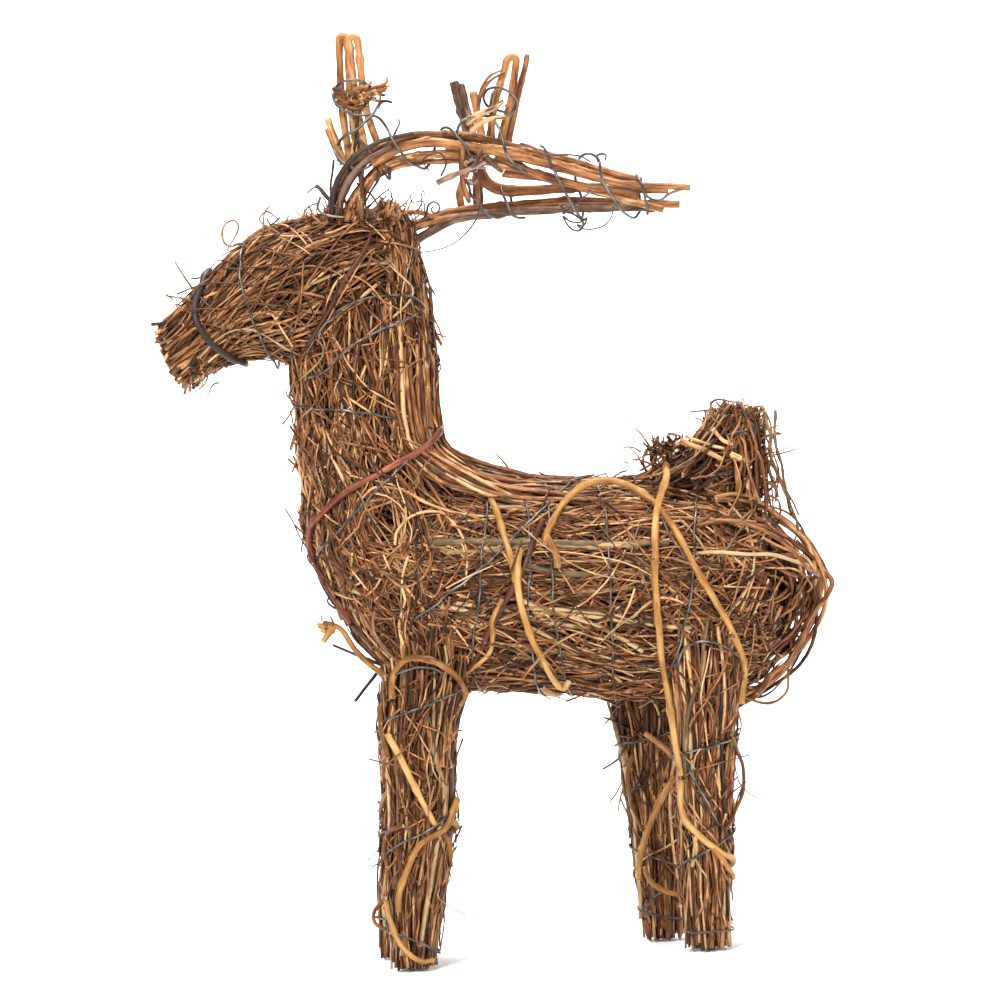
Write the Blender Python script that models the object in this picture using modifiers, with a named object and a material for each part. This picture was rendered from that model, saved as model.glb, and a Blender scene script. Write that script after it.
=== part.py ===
"""Reindeer of bundled twigs on a wire frame, with vine antlers and vine and wire bindings.

The figure faces -X and stands on z = 0. Its left side is -Y. Lengths are in metres.
Steel rods run inside. Twig mats and bundles are tied round them, and vines and wire bind the whole.
"""

import math

import bmesh
import bpy
import numpy as np

MM = 0.001

# Driving dimensions, in millimetres

ROD_RADIUS = 1.5            # frame rod
WIRE_RADIUS = 0.5           # binding wire
VINE_RADIUS = 1.5           # binding vine on the body
LEG_VINE_RADIUS = 1.3
BEAM_RADIUS = 1.9           # antler beam
TINE_RADIUS = 1.55         # antler tine strand
GAP = 0.4                   # between pieces that touch
BORE_RADIUS = ROD_RADIUS + GAP

MAT_WALL = 10.0             # twig mat of the barrel
NECK_WALL = 9.0
HEAD_WALL = 7.5
RUMP_WALL = 7.0
LEG_Y = 20.9                # legs stand this far left and right of the middle
LEG_TOP = 128.0             # the leg bundles reach this height up the barrel
BORE_FLOOR = 8.0            # the leg rods stop this far above the ground

WIRE_LIFT = WIRE_RADIUS + GAP
OVER_WIRE_LIFT = WIRE_LIFT + 2 * WIRE_RADIUS + GAP
VINE_LIFT = 2 * WIRE_RADIUS + 2 * GAP + VINE_RADIUS + 0.6
OVER_VINE_LIFT = VINE_LIFT + 2 * VINE_RADIUS + GAP

# Bodies as stations along a centre line in the XZ plane. Each row gives
# (key, centre x, centre z, half height, half width, tilt). The key is x or z, whichever runs along
# the body. The tilt turns the section's up direction from +Z (0) towards -X (90).

BARREL = [
    (-76.4, -76.4, 178.0, 7.0, 5.5, 0),
    (-74.5, -74.5, 178.5, 17.5, 12.5, 0),
    (-70.0, -70.0, 172.0, 25.0, 19.0, 0),
    (-62.0, -62.0, 162.0, 35.0, 27.0, 0),
    (-55.0, -55.0, 158.7, 38.8, 30.5, 0),
    (-48.0, -48.0, 155.5, 42.0, 33.0, 0),
    (-30.0, -30.0, 152.5, 43.5, 35.5, 0),
    (-10.0, -10.0, 150.0, 42.5, 36.0, 0),
    (20.0, 20.0, 147.0, 42.0, 35.0, 0),
    (40.0, 40.0, 144.5, 43.5, 35.0, 0),
    (65.0, 65.0, 142.8, 43.8, 36.5, 0),
    (85.0, 85.0, 140.8, 40.2, 34.0, 0),
    (98.0, 98.0, 140.0, 36.0, 30.0, 0),
    (110.0, 110.0, 140.2, 30.2, 24.5, 0),
    (120.0, 120.0, 140.0, 21.5, 17.0, 0),
    (127.0, 127.0, 139.5, 12.0, 9.5, 0),
    (130.5, 130.5, 139.0, 5.0, 4.0, 0),
]
NECK = [
    (176.0, -43.0, 176.0, 25.0, 22.0, 90),
    (190.0, -45.5, 190.0, 28.0, 23.5, 90),
    (200.0, -47.3, 200.0, 28.8, 23.3, 90),
    (222.0, -49.3, 222.0, 27.5, 22.0, 90),
    (240.0, -48.5, 240.0, 29.5, 22.0, 90),
    (260.0, -47.0, 260.0, 29.0, 20.5, 90),
    (275.0, -44.0, 275.0, 25.5, 17.0, 90),
    (288.0, -42.0, 288.0, 21.0, 14.0, 90),
    (296.0, -41.0, 296.0, 17.0, 12.0, 90),
]
HEAD = [
    (-125.5, -125.5, 250.2, 13.5, 12.0, 19.5),
    (-109.5, -109.5, 260.5, 17.2, 15.0, 14),
    (-94.0, -94.0, 268.5, 22.5, 18.5, 12),
    (-78.0, -78.0, 271.0, 29.0, 21.5, 9),
    (-61.0, -61.0, 272.5, 29.5, 23.5, 5),
    (-46.0, -46.0, 274.5, 26.0, 22.5, 0),
    (-34.0, -34.0, 276.0, 17.5, 17.5, 0),
]
TAIL = [
    (168.0, 85.0, 168.0, 12.5, 11.0, 90),
    (184.0, 89.5, 184.0, 12.0, 10.5, 90),
    (196.0, 94.5, 196.0, 11.5, 10.0, 90),
    (206.0, 97.5, 206.0, 9.5, 8.5, 90),
    (213.0, 99.0, 213.0, 6.0, 5.5, 90),
]

# Legs as (height, centre x, fore-and-aft half size, half width)

FRONT_LEG = [
    (0.0, 0.0, 8.6, 8.6),
    (16.0, 1.6, 10.0, 9.8),
    (33.0, 3.6, 11.8, 11.5),
    (56.0, 7.2, 12.6, 12.3),
    (75.0, 8.4, 13.0, 12.8),
    (95.0, 9.0, 14.4, 13.5),
    (112.0, 12.4, 15.8, 14.0),
    (LEG_TOP, 14.0, 17.0, 14.0),
]
REAR_LEG = [
    (0.0, 0.0, 8.4, 8.6),
    (16.0, 0.2, 8.9, 9.2),
    (30.0, 0.8, 9.5, 9.8),
    (45.0, 1.4, 10.2, 10.6),
    (66.0, 2.6, 11.3, 11.8),
    (85.0, 3.8, 12.2, 12.8),
    (101.0, 5.0, 13.8, 13.6),
    (LEG_TOP, 6.2, 15.6, 14.0),
]

# Each leg: (stations, foot x, how far its lean follows the stations, side)

LEGS = {
    "front_left": (FRONT_LEG, -44.6, 1.0, -1),
    "front_right": (FRONT_LEG, -50.0, 1.2, 1),
    "rear_left": (REAR_LEG, 72.6, 1.0, -1),
    "rear_right": (REAR_LEG, 56.6, -0.4, 1),
}

MAT_START = -57.6           # the mats start behind the chest mat
MAT_END = 97.6              # all mats end at the rump nest
BACK_ANGLE = 44.4           # half the angle that the back mat covers
BELLY_ANGLE = 128.4         # the belly mat starts this far round from the top
SEAM_ANGLE = 1.6            # between mats
EDGE_ANGLE = 3.0            # narrow strip along a mat's edge, which keeps the edge square
NECK_HALF_ANGLE = 88.4      # half the angle of a neck bundle
HEAD_HALF_ANGLE = 86.0      # half the angle of a head bundle

SHOULDER_GAP_CENTRE = (-47.0, 178.0)
SHOULDER_GAP_SIZE = (6.5, 9.0)

HOOP_X = {"shoulder_hoop": -10.0, "hip_hoop": 65.5}

# Antlers. The two racks spread apart behind the brow and come together at their tips.

LEFT_SPREAD = [(-60, -10.0), (-40, -12.0), (-20, -15.0), (5, -15.0), (28, -10.5), (48, -5.5), (90, -4.5)]
RIGHT_SPREAD = [(-60, 8.0), (-34, 8.5), (-15, 12.0), (5, 13.0), (28, 9.0), (48, 4.8), (90, 4.2)]

# Each antler piece: (points as x, z), offset across, radius, taper, finish

LEFT_ANTLER = {
    "left_antler_beam_1": ([(-57.0, 297.5), (-54.5, 306.5), (-48, 318.5), (-36, 325.8), (-20, 328.8),
                            (0, 326.8), (19.5, 321.2), (43, 313.8), (67, 305.2)], 0.0, BEAM_RADIUS,
                           (1.05, 0.8), "vine_wood"),
    "left_antler_beam_2": ([(-39.5, 318.8), (-28, 323.8), (-12, 325.0), (11.5, 319.6), (35, 312.2),
                            (59, 305.0), (86, 301.5)], -4.2, BEAM_RADIUS, (1.0, 0.7), "vine_wood"),
    "left_antler_beam_3": ([(-51.0, 297.0), (-46.5, 307.5), (-35, 317.8), (-21, 320.6), (-6.5, 320.4),
                            (11, 315.6), (35, 307.8), (54, 301.0), (75, 293.6)], -0.6, BEAM_RADIUS,
                           (1.05, 0.75), "vine_wood"),
    "left_mid_tine": ([(7.5, 320.0), (10.0, 338.0), (15.8, 354.0), (16.7, 356.9), (18.4, 358.5),
                       (20.0, 357.6), (20.2, 355.0), (16.4, 338.5), (11.9, 324.0)], 4.1, TINE_RADIUS,
                      (1.0, 1.0), "vine_wood"),
    "left_mid_spur": ([(13.0, 314.0), (15.5, 326.0), (20.4, 343.0), (25.0, 359.5)], 7.8,
                      TINE_RADIUS, (1.0, 0.7), "vine_wood"),
    "left_brow_spur": ([(-51.2, 320.5), (-53.0, 328.5), (-56.4, 339.5)], 6.9, TINE_RADIUS,
                       (1.0, 0.8), "vine_wood"),
}
RIGHT_ANTLER = {
    "right_antler_beam_1": ([(-32.0, 291.0), (-23.5, 295.8), (-13, 298.8), (0, 300.6), (18, 301.0),
                             (42, 300.2), (66, 297.6), (82, 296.3)], 0.0, BEAM_RADIUS, (1.05, 0.8),
                            "vine_wood"),
    "right_antler_beam_2": ([(-31.0, 284.5), (-22.0, 290.5), (-13, 295.0), (-2, 297.4), (18, 297.6),
                             (50, 296.5), (75, 295.0)], -4.4, BEAM_RADIUS, (1.0, 0.75), "bark_wood"),
    "right_antler_beam_3": ([(0.4, 323.0), (2.2, 314.5), (6.6, 308.9), (13, 306.3), (27, 305.6),
                             (46, 305.4), (64, 303.2), (78, 302.0)], -0.6, BEAM_RADIUS, (1.0, 0.75),
                            "vine_wood"),
    "right_riser": ([(-5.2, 298.5), (-5.8, 307.5), (-2.4, 316.5), (2.4, 328.0)], 4.1,
                    TINE_RADIUS, (1.0, 0.9), "vine_wood"),
    "right_bark_tine": ([(1.0, 300.0), (1.6, 315.0), (-0.6, 331.0), (-3.0, 343.5), (-5.1, 353.4)],
                        8.3, BEAM_RADIUS, (1.0, 1.1), "bark_wood"),
    "right_short_tine": ([(5.9, 317.5), (4.4, 333.0), (2.5, 348.0)], 0.8, TINE_RADIUS, (1.0, 1.1),
                         "vine_wood"),
}

# Bent-over pairs: (points as x, z), offset across

BROW_PAIRS = {
    "left_brow_tine_1": ([(-48.2, 319.5), (-50.0, 340.0), (-50.5, 357.0), (-50.45, 370.0),
                          (-49.97, 371.17), (-48.8, 371.65), (-47.63, 371.17), (-47.15, 370.0),
                          (-47.1, 357.0), (-46.5, 340.0), (-44.6, 320.5)], 6.6),
    "left_brow_tine_2": ([(-41.4, 321.0), (-43.8, 340.0), (-44.6, 357.0), (-44.55, 368.7),
                          (-44.07, 369.87), (-42.9, 370.35), (-41.73, 369.87), (-41.25, 368.7),
                          (-41.1, 357.0), (-40.2, 341.0), (-36.0, 324.0)], 4.4),
}

# Beams whose roots sit in sockets

ROOTED_BEAMS = {
    "head_brow_bundle": ("left_antler_beam_1", "left_antler_beam_3"),
    "neck_nape_bundle": ("right_antler_beam_1", "right_antler_beam_2"),
}
ROOT_POINTS = 5             # path points that cover a root
SOCKET_DEPTH = 0.8          # past the end of the root

# Colours: name -> (red, green, blue, roughness, metallic)

FINISHES = {
    "twig": (0.16, 0.075, 0.035, 0.85, 0.0),
    "vine_wood": (0.50, 0.25, 0.09, 0.65, 0.0),
    "bark_wood": (0.14, 0.085, 0.06, 0.9, 0.0),
    "golden_vine": (0.60, 0.36, 0.14, 0.6, 0.0),
    "red_vine": (0.20, 0.05, 0.035, 0.6, 0.0),
    "dark_vine": (0.09, 0.05, 0.045, 0.65, 0.0),
    "steel_wire": (0.32, 0.30, 0.31, 0.4, 0.9),
    "frame_steel": (0.45, 0.47, 0.42, 0.5, 0.2),
}


# Set-up

def clear_scene():
    for item in list(bpy.data.objects):
        bpy.data.objects.remove(item, do_unlink=True)
    for group in list(bpy.data.collections):
        bpy.data.collections.remove(group)


def new_collection(name):
    group = bpy.data.collections.new(name)
    bpy.context.scene.collection.children.link(group)
    return group


def finish_material(node, finish):
    red, green, blue, roughness, metallic = FINISHES[finish]
    material = bpy.data.materials.new(node + "_" + finish)
    material.use_nodes = True
    shader = material.node_tree.nodes["Principled BSDF"]
    shader.inputs["Base Color"].default_value = (red, green, blue, 1.0)
    shader.inputs["Roughness"].default_value = roughness
    shader.inputs["Metallic"].default_value = metallic
    material.diffuse_color = (red, green, blue, 1.0)
    return material


def add_object(name, data, finish, group):
    piece = bpy.data.objects.new(name, data)
    data.materials.append(finish_material(name, finish))
    group.objects.link(piece)
    return piece


# Curves and sections

def smooth(rows, per_span):
    """Catmull-Rom rows through the given rows, per_span steps between each two."""
    rows = np.array(rows, dtype=float)
    padded = np.vstack([2 * rows[0] - rows[1], rows, 2 * rows[-1] - rows[-2]])
    result = []
    for index in range(len(rows) - 1):
        before, start, end, after = padded[index:index + 4]
        for step in range(per_span):
            t = step / per_span
            result.append(0.5 * (2 * start + (end - before) * t
                                 + (2 * before - 5 * start + 4 * end - after) * t ** 2
                                 + (3 * start - before - 3 * end + after) * t ** 3))
    result.append(rows[-1])
    return np.array(result)


class Body:
    """A bundle with elliptical sections, which pieces can be laid on."""

    def __init__(self, rows, middle_y=0.0):
        self.rows = np.array(rows, dtype=float)
        self.middle_y = middle_y

    def section(self, key):
        """Centre, up and left directions, and the two half sizes at a station."""
        x, z, high, wide, tilt = [np.interp(key, self.rows[:, 0], self.rows[:, column])
                                  for column in range(1, 6)]
        turn = math.radians(tilt)
        centre = np.array([x, self.middle_y, z])
        up = np.array([-math.sin(turn), 0.0, math.cos(turn)])
        left = np.array([0.0, -1.0, 0.0])
        return centre, up, left, high, wide

    def point(self, key, angle, lift=0.0):
        """Surface point at an angle from the section's up direction, lifted off the surface."""
        centre, up, left, high, wide = self.section(key)
        turn = math.radians(angle)
        return centre + up * (high + lift) * math.cos(turn) + left * (wide + lift) * math.sin(turn)

    def key_of(self, point):
        """The station whose section plane is nearest to the point."""
        along_z = self.rows[0, 5] > 45
        axis = 2 if along_z else 0
        return point[axis]

    def push_out(self, point, clearance):
        """The point, moved out to the given clearance where it is nearer than that."""
        low, high_key = self.rows[0, 0] - clearance, self.rows[-1, 0] + clearance
        key = self.key_of(point)
        if not low < key < high_key:
            return point
        centre, up, left, high, wide = self.section(key)
        rise = np.dot(point - centre, up)
        side = np.dot(point - centre, left)
        reach = math.hypot(rise / (high + clearance), side / (wide + clearance))
        if reach >= 1.0 or reach < 1e-6:
            return point
        return point + (up * rise + left * side) * (1.0 / reach - 1.0)


def leg_rows(stations, foot_x, lean):
    rows = []
    for height, shift, along, across in stations:
        rows.append((height, foot_x + shift * lean, height, along, across, 90))
    return rows


barrel = Body(BARREL)
neck = Body(NECK)
head = Body(HEAD)
tail = Body(TAIL)
legs = {name: Body(leg_rows(rows, foot, lean), side * LEG_Y)
        for name, (rows, foot, lean, side) in LEGS.items()}
ALL_BODIES = [barrel, neck, head, tail] + list(legs.values())


def settle(path, clearance):
    """Lays a path on the outside of every bundle, point by point."""
    lifts = np.broadcast_to(clearance, len(path))
    settled = []
    for point, lift in zip(path, lifts):
        for _ in range(6):
            for body in ALL_BODIES:
                point = body.push_out(point, lift)
        settled.append(point)
    return np.array(settled)


def wrap(body, turns, per_span, lift):
    """A path on a body through (station, angle) or (station, angle, extra lift) rows."""
    rows = [tuple(row) + (0.0,) * (3 - len(row)) for row in turns]
    dense = smooth(rows, per_span)
    path = [body.point(key, angle, lift + extra) for key, angle, extra in dense]
    return settle(path, lift + np.array(dense)[:, 2])


def helix(body, start, end, first_angle, turns, per_turn, lift):
    """A path that winds round a body from one station to another."""
    count = max(2, int(round(abs(turns) * per_turn)))
    path = []
    for step in range(count + 1):
        share = step / count
        key = start + (end - start) * share
        path.append(body.point(key, first_angle + 360.0 * turns * share, lift))
    return settle(path, lift)


def rack_path(points, spread, offset, per_span=2):
    xs, ys = zip(*spread)
    return [(x, np.interp(x, xs, ys) + offset, z) for x, z in smooth(points, per_span)]


def socket_path(name):
    """The first stretch of a beam, run on a little past its root."""
    points, offset = {**LEFT_ANTLER, **RIGHT_ANTLER}[name][:2]
    spread = LEFT_SPREAD if name in LEFT_ANTLER else RIGHT_SPREAD
    path = [np.array(place) for place in rack_path(points, spread, offset)[:ROOT_POINTS]]
    along = path[0] - path[1]
    path[0] = path[0] + along * (SOCKET_DEPTH / np.linalg.norm(along))
    return path


# Solids

def tube(name, path, radius, finish, group, resolution=1, cyclic=False, taper=None):
    """A rod, vine or wire along a path given in millimetres."""
    curve = bpy.data.curves.new(name, "CURVE")
    curve.dimensions = "3D"
    curve.bevel_depth = radius * MM
    curve.bevel_resolution = resolution
    curve.use_fill_caps = not cyclic
    curve.twist_mode = "MINIMUM"
    spline = curve.splines.new("POLY")
    spline.points.add(len(path) - 1)
    for index, place in enumerate(path):
        x, y, z = place
        spline.points[index].co = (x * MM, y * MM, z * MM, 1.0)
        if taper:
            share = index / (len(path) - 1)
            spline.points[index].radius = taper[0] + (taper[1] - taper[0]) * share
    spline.use_cyclic_u = cyclic
    spline.use_smooth = True
    return add_object(name, curve, finish, group)


def curve_to_mesh(piece):
    """Replaces a curve object by a closed mesh object of the same shape."""
    bpy.context.view_layer.update()
    evaluated = piece.evaluated_get(bpy.context.evaluated_depsgraph_get())
    data = bpy.data.meshes.new_from_object(evaluated)
    model = bmesh.new()
    model.from_mesh(data)
    bmesh.ops.remove_doubles(model, verts=model.verts, dist=1e-6)
    bmesh.ops.recalc_face_normals(model, faces=model.faces)
    model.to_mesh(data)
    model.free()
    name = piece.name
    place = piece.matrix_world.copy()
    group = piece.users_collection[0]
    bpy.data.objects.remove(piece, do_unlink=True)
    solid = bpy.data.objects.new(name, data)
    solid.matrix_world = place
    group.objects.link(solid)
    return solid


def mesh_object(name, points, faces, finish, group, closed):
    data = bpy.data.meshes.new(name)
    data.from_pydata([tuple(MM * value for value in place) for place in points], [], faces)
    if closed:
        model = bmesh.new()
        model.from_mesh(data)
        bmesh.ops.recalc_face_normals(model, faces=model.faces)
        model.to_mesh(data)
        model.free()
    data.shade_smooth()
    data.set_sharp_from_angle(angle=math.radians(50))
    return add_object(name, data, finish, group)


def ring(body, key, sides, lift=0.0):
    return [body.point(key, 360.0 * step / sides, lift) for step in range(sides)]


def loft(name, rings, finish, group):
    """A closed solid through rings of equal count, capped at both ends."""
    sides = len(rings[0])
    points = [place for row in rings for place in row]
    faces = []
    for level in range(len(rings) - 1):
        for step in range(sides):
            following = (step + 1) % sides
            low, high = level * sides, (level + 1) * sides
            faces.append((low + step, low + following, high + following, high + step))
    last = (len(rings) - 1) * sides
    faces.append(tuple(reversed(range(sides))))
    faces.append(tuple(last + step for step in range(sides)))
    return mesh_object(name, points, faces, finish, group, closed=True)


def sector_shell(name, body, keys, angles, wall, finish, group):
    """An open sheet over a range of stations and angles, thickened inwards."""
    columns = len(angles)
    points = [body.point(key, angle) for key in keys for angle in angles]
    faces = []
    for level in range(len(keys) - 1):
        for step in range(columns - 1):
            low, high = level * columns + step, (level + 1) * columns + step
            faces.append((low, low + 1, high + 1, high))
    piece = mesh_object(name, points, faces, finish, group, closed=False)
    shell = piece.modifiers.new("Thickness", "SOLIDIFY")
    shell.thickness = wall * MM
    shell.offset = -1.0
    return piece


def cut(piece, cutter):
    step = piece.modifiers.new("Cut_" + cutter.name, "BOOLEAN")
    step.operation = "DIFFERENCE"
    step.solver = "EXACT"
    step.object = cutter


def hide_cutter(cutter):
    cutter.hide_render = True
    cutter.display_type = "WIRE"
    return cutter


def stations_between(body, start, end):
    """The given end stations and the body's own stations between them."""
    inner = [key for key in body.rows[:, 0] if start + 1.0 < key < end - 1.0]
    return [start] + inner + [end]


# Frame

def rod_top(x):
    """Height of the spine rod under the shoulder and hip hoops."""
    centre, _, _, high, _ = barrel.section(x)
    return centre[2] + high - MAT_WALL - 2 * GAP - 3 * ROD_RADIUS - GAP


def rod_bottom(x):
    centre, _, _, high, _ = barrel.section(x)
    return centre[2] - high + MAT_WALL + 2 * GAP + 3 * ROD_RADIUS + GAP


def spine_path():
    route = [(-118.0, 255.0), (-104.0, 262.5), (-88.0, 269.0), (-70.0, 272.5), (-55.0, 269.0),
             (-47.5, 257.0), (-45.0, 240.0), (-43.5, 222.0), (-40.5, 204.0), (-34.0, 189.0)]
    route += [(x, rod_top(x)) for x in (-22.0, -10.0, 6.0, 24.0, 44.0, 65.5, 84.0, 95.0)]
    route += [(104.0, 152.0)]
    return [(x, 0.0, z) for x, z in smooth(route, 2)]


def belly_path():
    route = [(-58.0, 166.0), (-59.5, 150.0), (-54.0, 138.0)]
    route += [(x, rod_bottom(x)) for x in (-40.0, -24.0, -10.0, 6.0, 24.0, 44.0, 65.5, 84.0, 95.0)]
    route += [(104.0, 130.0)]
    return [(x, 0.0, z) for x, z in smooth(route, 2)]


def hoop_path(x, count=22):
    centre, up, left, high, wide = barrel.section(x)
    inset = MAT_WALL + 2 * GAP + ROD_RADIUS
    path = []
    for step in range(count):
        turn = 2 * math.pi * step / count
        path.append(centre + up * (high - inset) * math.cos(turn)
                    + left * (wide - inset) * math.sin(turn))
    return path


def leg_rod_path(name):
    """Up the middle of the leg, through the belly mat, and over to the spine inside the barrel."""
    body = legs[name]
    side = LEGS[name][3]
    route = [tuple(body.section(height)[0]) for height in (BORE_FLOOR + GAP, 16, 33, 56, 75, 95, 112)]
    top_x = body.section(LEG_TOP)[0][0]
    route.append((top_x, side * LEG_Y, LEG_TOP))
    if name.startswith("front"):
        shoulder = [(-1.0, 20.2, 135.0), (-3.5, 18.8, 143.0), (-9.5, 17.8, 153.0),
                    (-16.5, 17.3, 163.0), (-20.7, 15.8, 172.0), (-21.5, 11.0, 179.0),
                    (-19.0, 6.0, 183.5)]
        route += [(top_x + along, side * across, height) for along, across, height in shoulder]
    else:
        hip = [(0.0, 20.4, 134.0), (0.3, 19.3, 143.0), (0.6, 17.2, 152.0), (0.9, 12.8, 161.0),
               (1.0, 7.5, 166.0)]
        route += [(top_x + along, side * across, height) for along, across, height in hip]
    return route


def build_frame(group):
    tube("spine_rod", spine_path(), ROD_RADIUS, "frame_steel", group)
    tube("belly_rod", belly_path(), ROD_RADIUS, "frame_steel", group)
    for name, x in HOOP_X.items():
        tube(name, hoop_path(x), ROD_RADIUS, "frame_steel", group, cyclic=True)
    for name in legs:
        tube(name + "_leg_rod", leg_rod_path(name), ROD_RADIUS, "frame_steel", group)


# Twig mats and bundles

def build_cutters(group):
    cutters = {}
    keys = list(barrel.rows[:, 0])
    rings = [ring(barrel, key, 40, GAP) for key in keys]
    cutters["barrel"] = loft("barrel_cutter", rings, "twig", group)
    rings = [ring(head, key, 28, GAP) for key in head.rows[:, 0]]
    tail_end = [place + np.array([GAP, 0.0, 0.0]) for place in rings[-1]]
    cutters["head"] = loft("head_cutter", rings + [tail_end], "twig", group)
    for name in legs:
        path = [place for place in leg_rod_path(name) if 70.0 < place[2] < 150.0]
        bore = tube(name + "_bore_cutter", path, BORE_RADIUS, "twig", group)
        cutters[name] = curve_to_mesh(bore)
    for name, low, high in (("spine_in_jaw", 225.0, 275.0), ("spine_in_back", 174.0, 225.0)):
        path = [place for place in spine_path() if -62.0 < place[0] < -12.0 and low < place[2] < high]
        cutters[name] = curve_to_mesh(tube(name + "_cutter", path, BORE_RADIUS, "twig", group))
    for name in [name for names in ROOTED_BEAMS.values() for name in names]:
        socket = tube(name + "_socket_cutter", socket_path(name), BEAM_RADIUS * 1.05 + GAP, "twig", group)
        cutters[name] = curve_to_mesh(socket)
    gap_x, gap_z = SHOULDER_GAP_CENTRE
    bpy.ops.mesh.primitive_cylinder_add(vertices=20, radius=MM, depth=40 * MM,
                                        location=(gap_x * MM, -30 * MM, gap_z * MM),
                                        rotation=(math.radians(90), 0, 0))
    hole = bpy.context.object
    hole.name = "shoulder_gap_cutter"
    hole.scale = (SHOULDER_GAP_SIZE[0], SHOULDER_GAP_SIZE[1], 1.0)
    bpy.ops.object.transform_apply(location=False, rotation=True, scale=True)
    for holder in list(hole.users_collection):
        holder.objects.unlink(hole)
    group.objects.link(hole)
    cutters["shoulder_gap"] = hole
    for cutter in cutters.values():
        hide_cutter(cutter)
    return cutters


def angles_between(start, end, count):
    """Angles from start to end, with a narrow strip inside each end."""
    first, last = start + EDGE_ANGLE, end - EDGE_ANGLE
    return [start] + [first + (last - first) * step / (count - 1) for step in range(count)] + [end]


def build_barrel(group, cutters):
    keys = stations_between(barrel, MAT_START, MAT_END)
    flank = (BACK_ANGLE + SEAM_ANGLE, BELLY_ANGLE - SEAM_ANGLE)
    back = sector_shell("back_mat", barrel, keys, angles_between(-BACK_ANGLE, BACK_ANGLE, 7),
                        MAT_WALL, "twig", group)
    cut(back, cutters["spine_in_back"])
    left = sector_shell("left_flank_mat", barrel, keys, angles_between(*flank, 7),
                        MAT_WALL, "twig", group)
    right = sector_shell("right_flank_mat", barrel, keys, angles_between(-flank[1], -flank[0], 7),
                         MAT_WALL, "twig", group)
    belly = sector_shell("belly_mat", barrel, keys,
                         angles_between(BELLY_ANGLE, 360 - BELLY_ANGLE, 9), MAT_WALL, "twig", group)
    for name, mat in (("front_left", left), ("rear_left", left), ("front_right", right),
                      ("rear_right", right)):
        cut(mat, cutters[name])
        cut(belly, cutters[name])
    cut(left, cutters["shoulder_gap"])


def bowl(name, outer_keys, inner_keys, wall, group):
    """A cap of the barrel: inside from its floor to the rim, then outside from the rim to the tip."""
    sides = 24
    rings = [ring(barrel, key, sides, -wall) for key in reversed(inner_keys)]
    rings += [ring(barrel, key, sides) for key in outer_keys]
    return loft(name, rings, "twig", group)


def build_caps(group):
    rim = MAT_START - 2 * GAP
    bowl("chest_mat", [rim, -62.0, -66.0, -70.0, -74.5, -76.4], [rim, -61.0, -64.0], MAT_WALL, group)
    rim = MAT_END + 2 * GAP
    bowl("rump_nest", [rim, 110.0, 120.0, 127.0, 130.5], [rim, 108.0, 117.0], RUMP_WALL, group)


def build_neck(group, cutters):
    front = angles_between(-NECK_HALF_ANGLE, NECK_HALF_ANGLE, 8)
    rear = angles_between(180 - NECK_HALF_ANGLE, 180 + NECK_HALF_ANGLE, 8)
    throat = sector_shell("neck_throat_bundle", neck, [176, 200, 222, 240, 254], front,
                          NECK_WALL, "twig", group)
    nape = sector_shell("neck_nape_bundle", neck, [176, 200, 222, 240, 260, 275, 288, 296], rear,
                        NECK_WALL, "twig", group)
    for piece in (throat, nape):
        cut(piece, cutters["barrel"])
        cut(piece, cutters["head"])
    for name in ROOTED_BEAMS["neck_nape_bundle"]:
        cut(nape, cutters[name])


def build_head(group, cutters):
    keys = list(head.rows[:, 0])
    upper = angles_between(-HEAD_HALF_ANGLE, HEAD_HALF_ANGLE, 8)
    lower = angles_between(180 - HEAD_HALF_ANGLE, 180 + HEAD_HALF_ANGLE, 8)
    brow = sector_shell("head_brow_bundle", head, keys, upper, HEAD_WALL, "twig", group)
    jaw = sector_shell("head_jaw_bundle", head, keys, lower, HEAD_WALL, "twig", group)
    cut(jaw, cutters["spine_in_jaw"])
    for name in ROOTED_BEAMS["head_brow_bundle"]:
        cut(brow, cutters[name])


def build_legs(group, cutters):
    sides = 14
    for name, body in legs.items():
        heights = [row[0] for row in LEGS[name][0]]
        rings = [ring(body, height, sides) for height in heights]
        bore = [height for height in heights if height > BORE_FLOOR]
        for height in reversed([BORE_FLOOR] + bore):
            centre, up, left, _, _ = body.section(height)
            hole = []
            for step in range(sides):
                turn = 2 * math.pi * step / sides
                hole.append(centre + BORE_RADIUS * (up * math.cos(turn) + left * math.sin(turn)))
            rings.append(hole)
        bundle = loft(name + "_leg_bundle", rings, "twig", group)
        cut(bundle, cutters["barrel"])


def build_tail(group, cutters):
    rings = [ring(tail, row[0], 14) for row in TAIL]
    bundle = loft("tail_bundle", rings, "twig", group)
    cut(bundle, cutters["barrel"])


def build_antlers(group):
    for pieces, spread in ((LEFT_ANTLER, LEFT_SPREAD), (RIGHT_ANTLER, RIGHT_SPREAD)):
        for name, (points, offset, radius, taper, finish) in pieces.items():
            path = rack_path(points, spread, offset)
            tube(name, path, radius, finish, group, taper=taper)
    for name, (points, offset) in BROW_PAIRS.items():
        path = rack_path(points, LEFT_SPREAD, offset)
        tube(name, path, TINE_RADIUS, "vine_wood", group)


# Bindings. Paths on a body are (station, angle from the top or front, extra lift).

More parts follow.
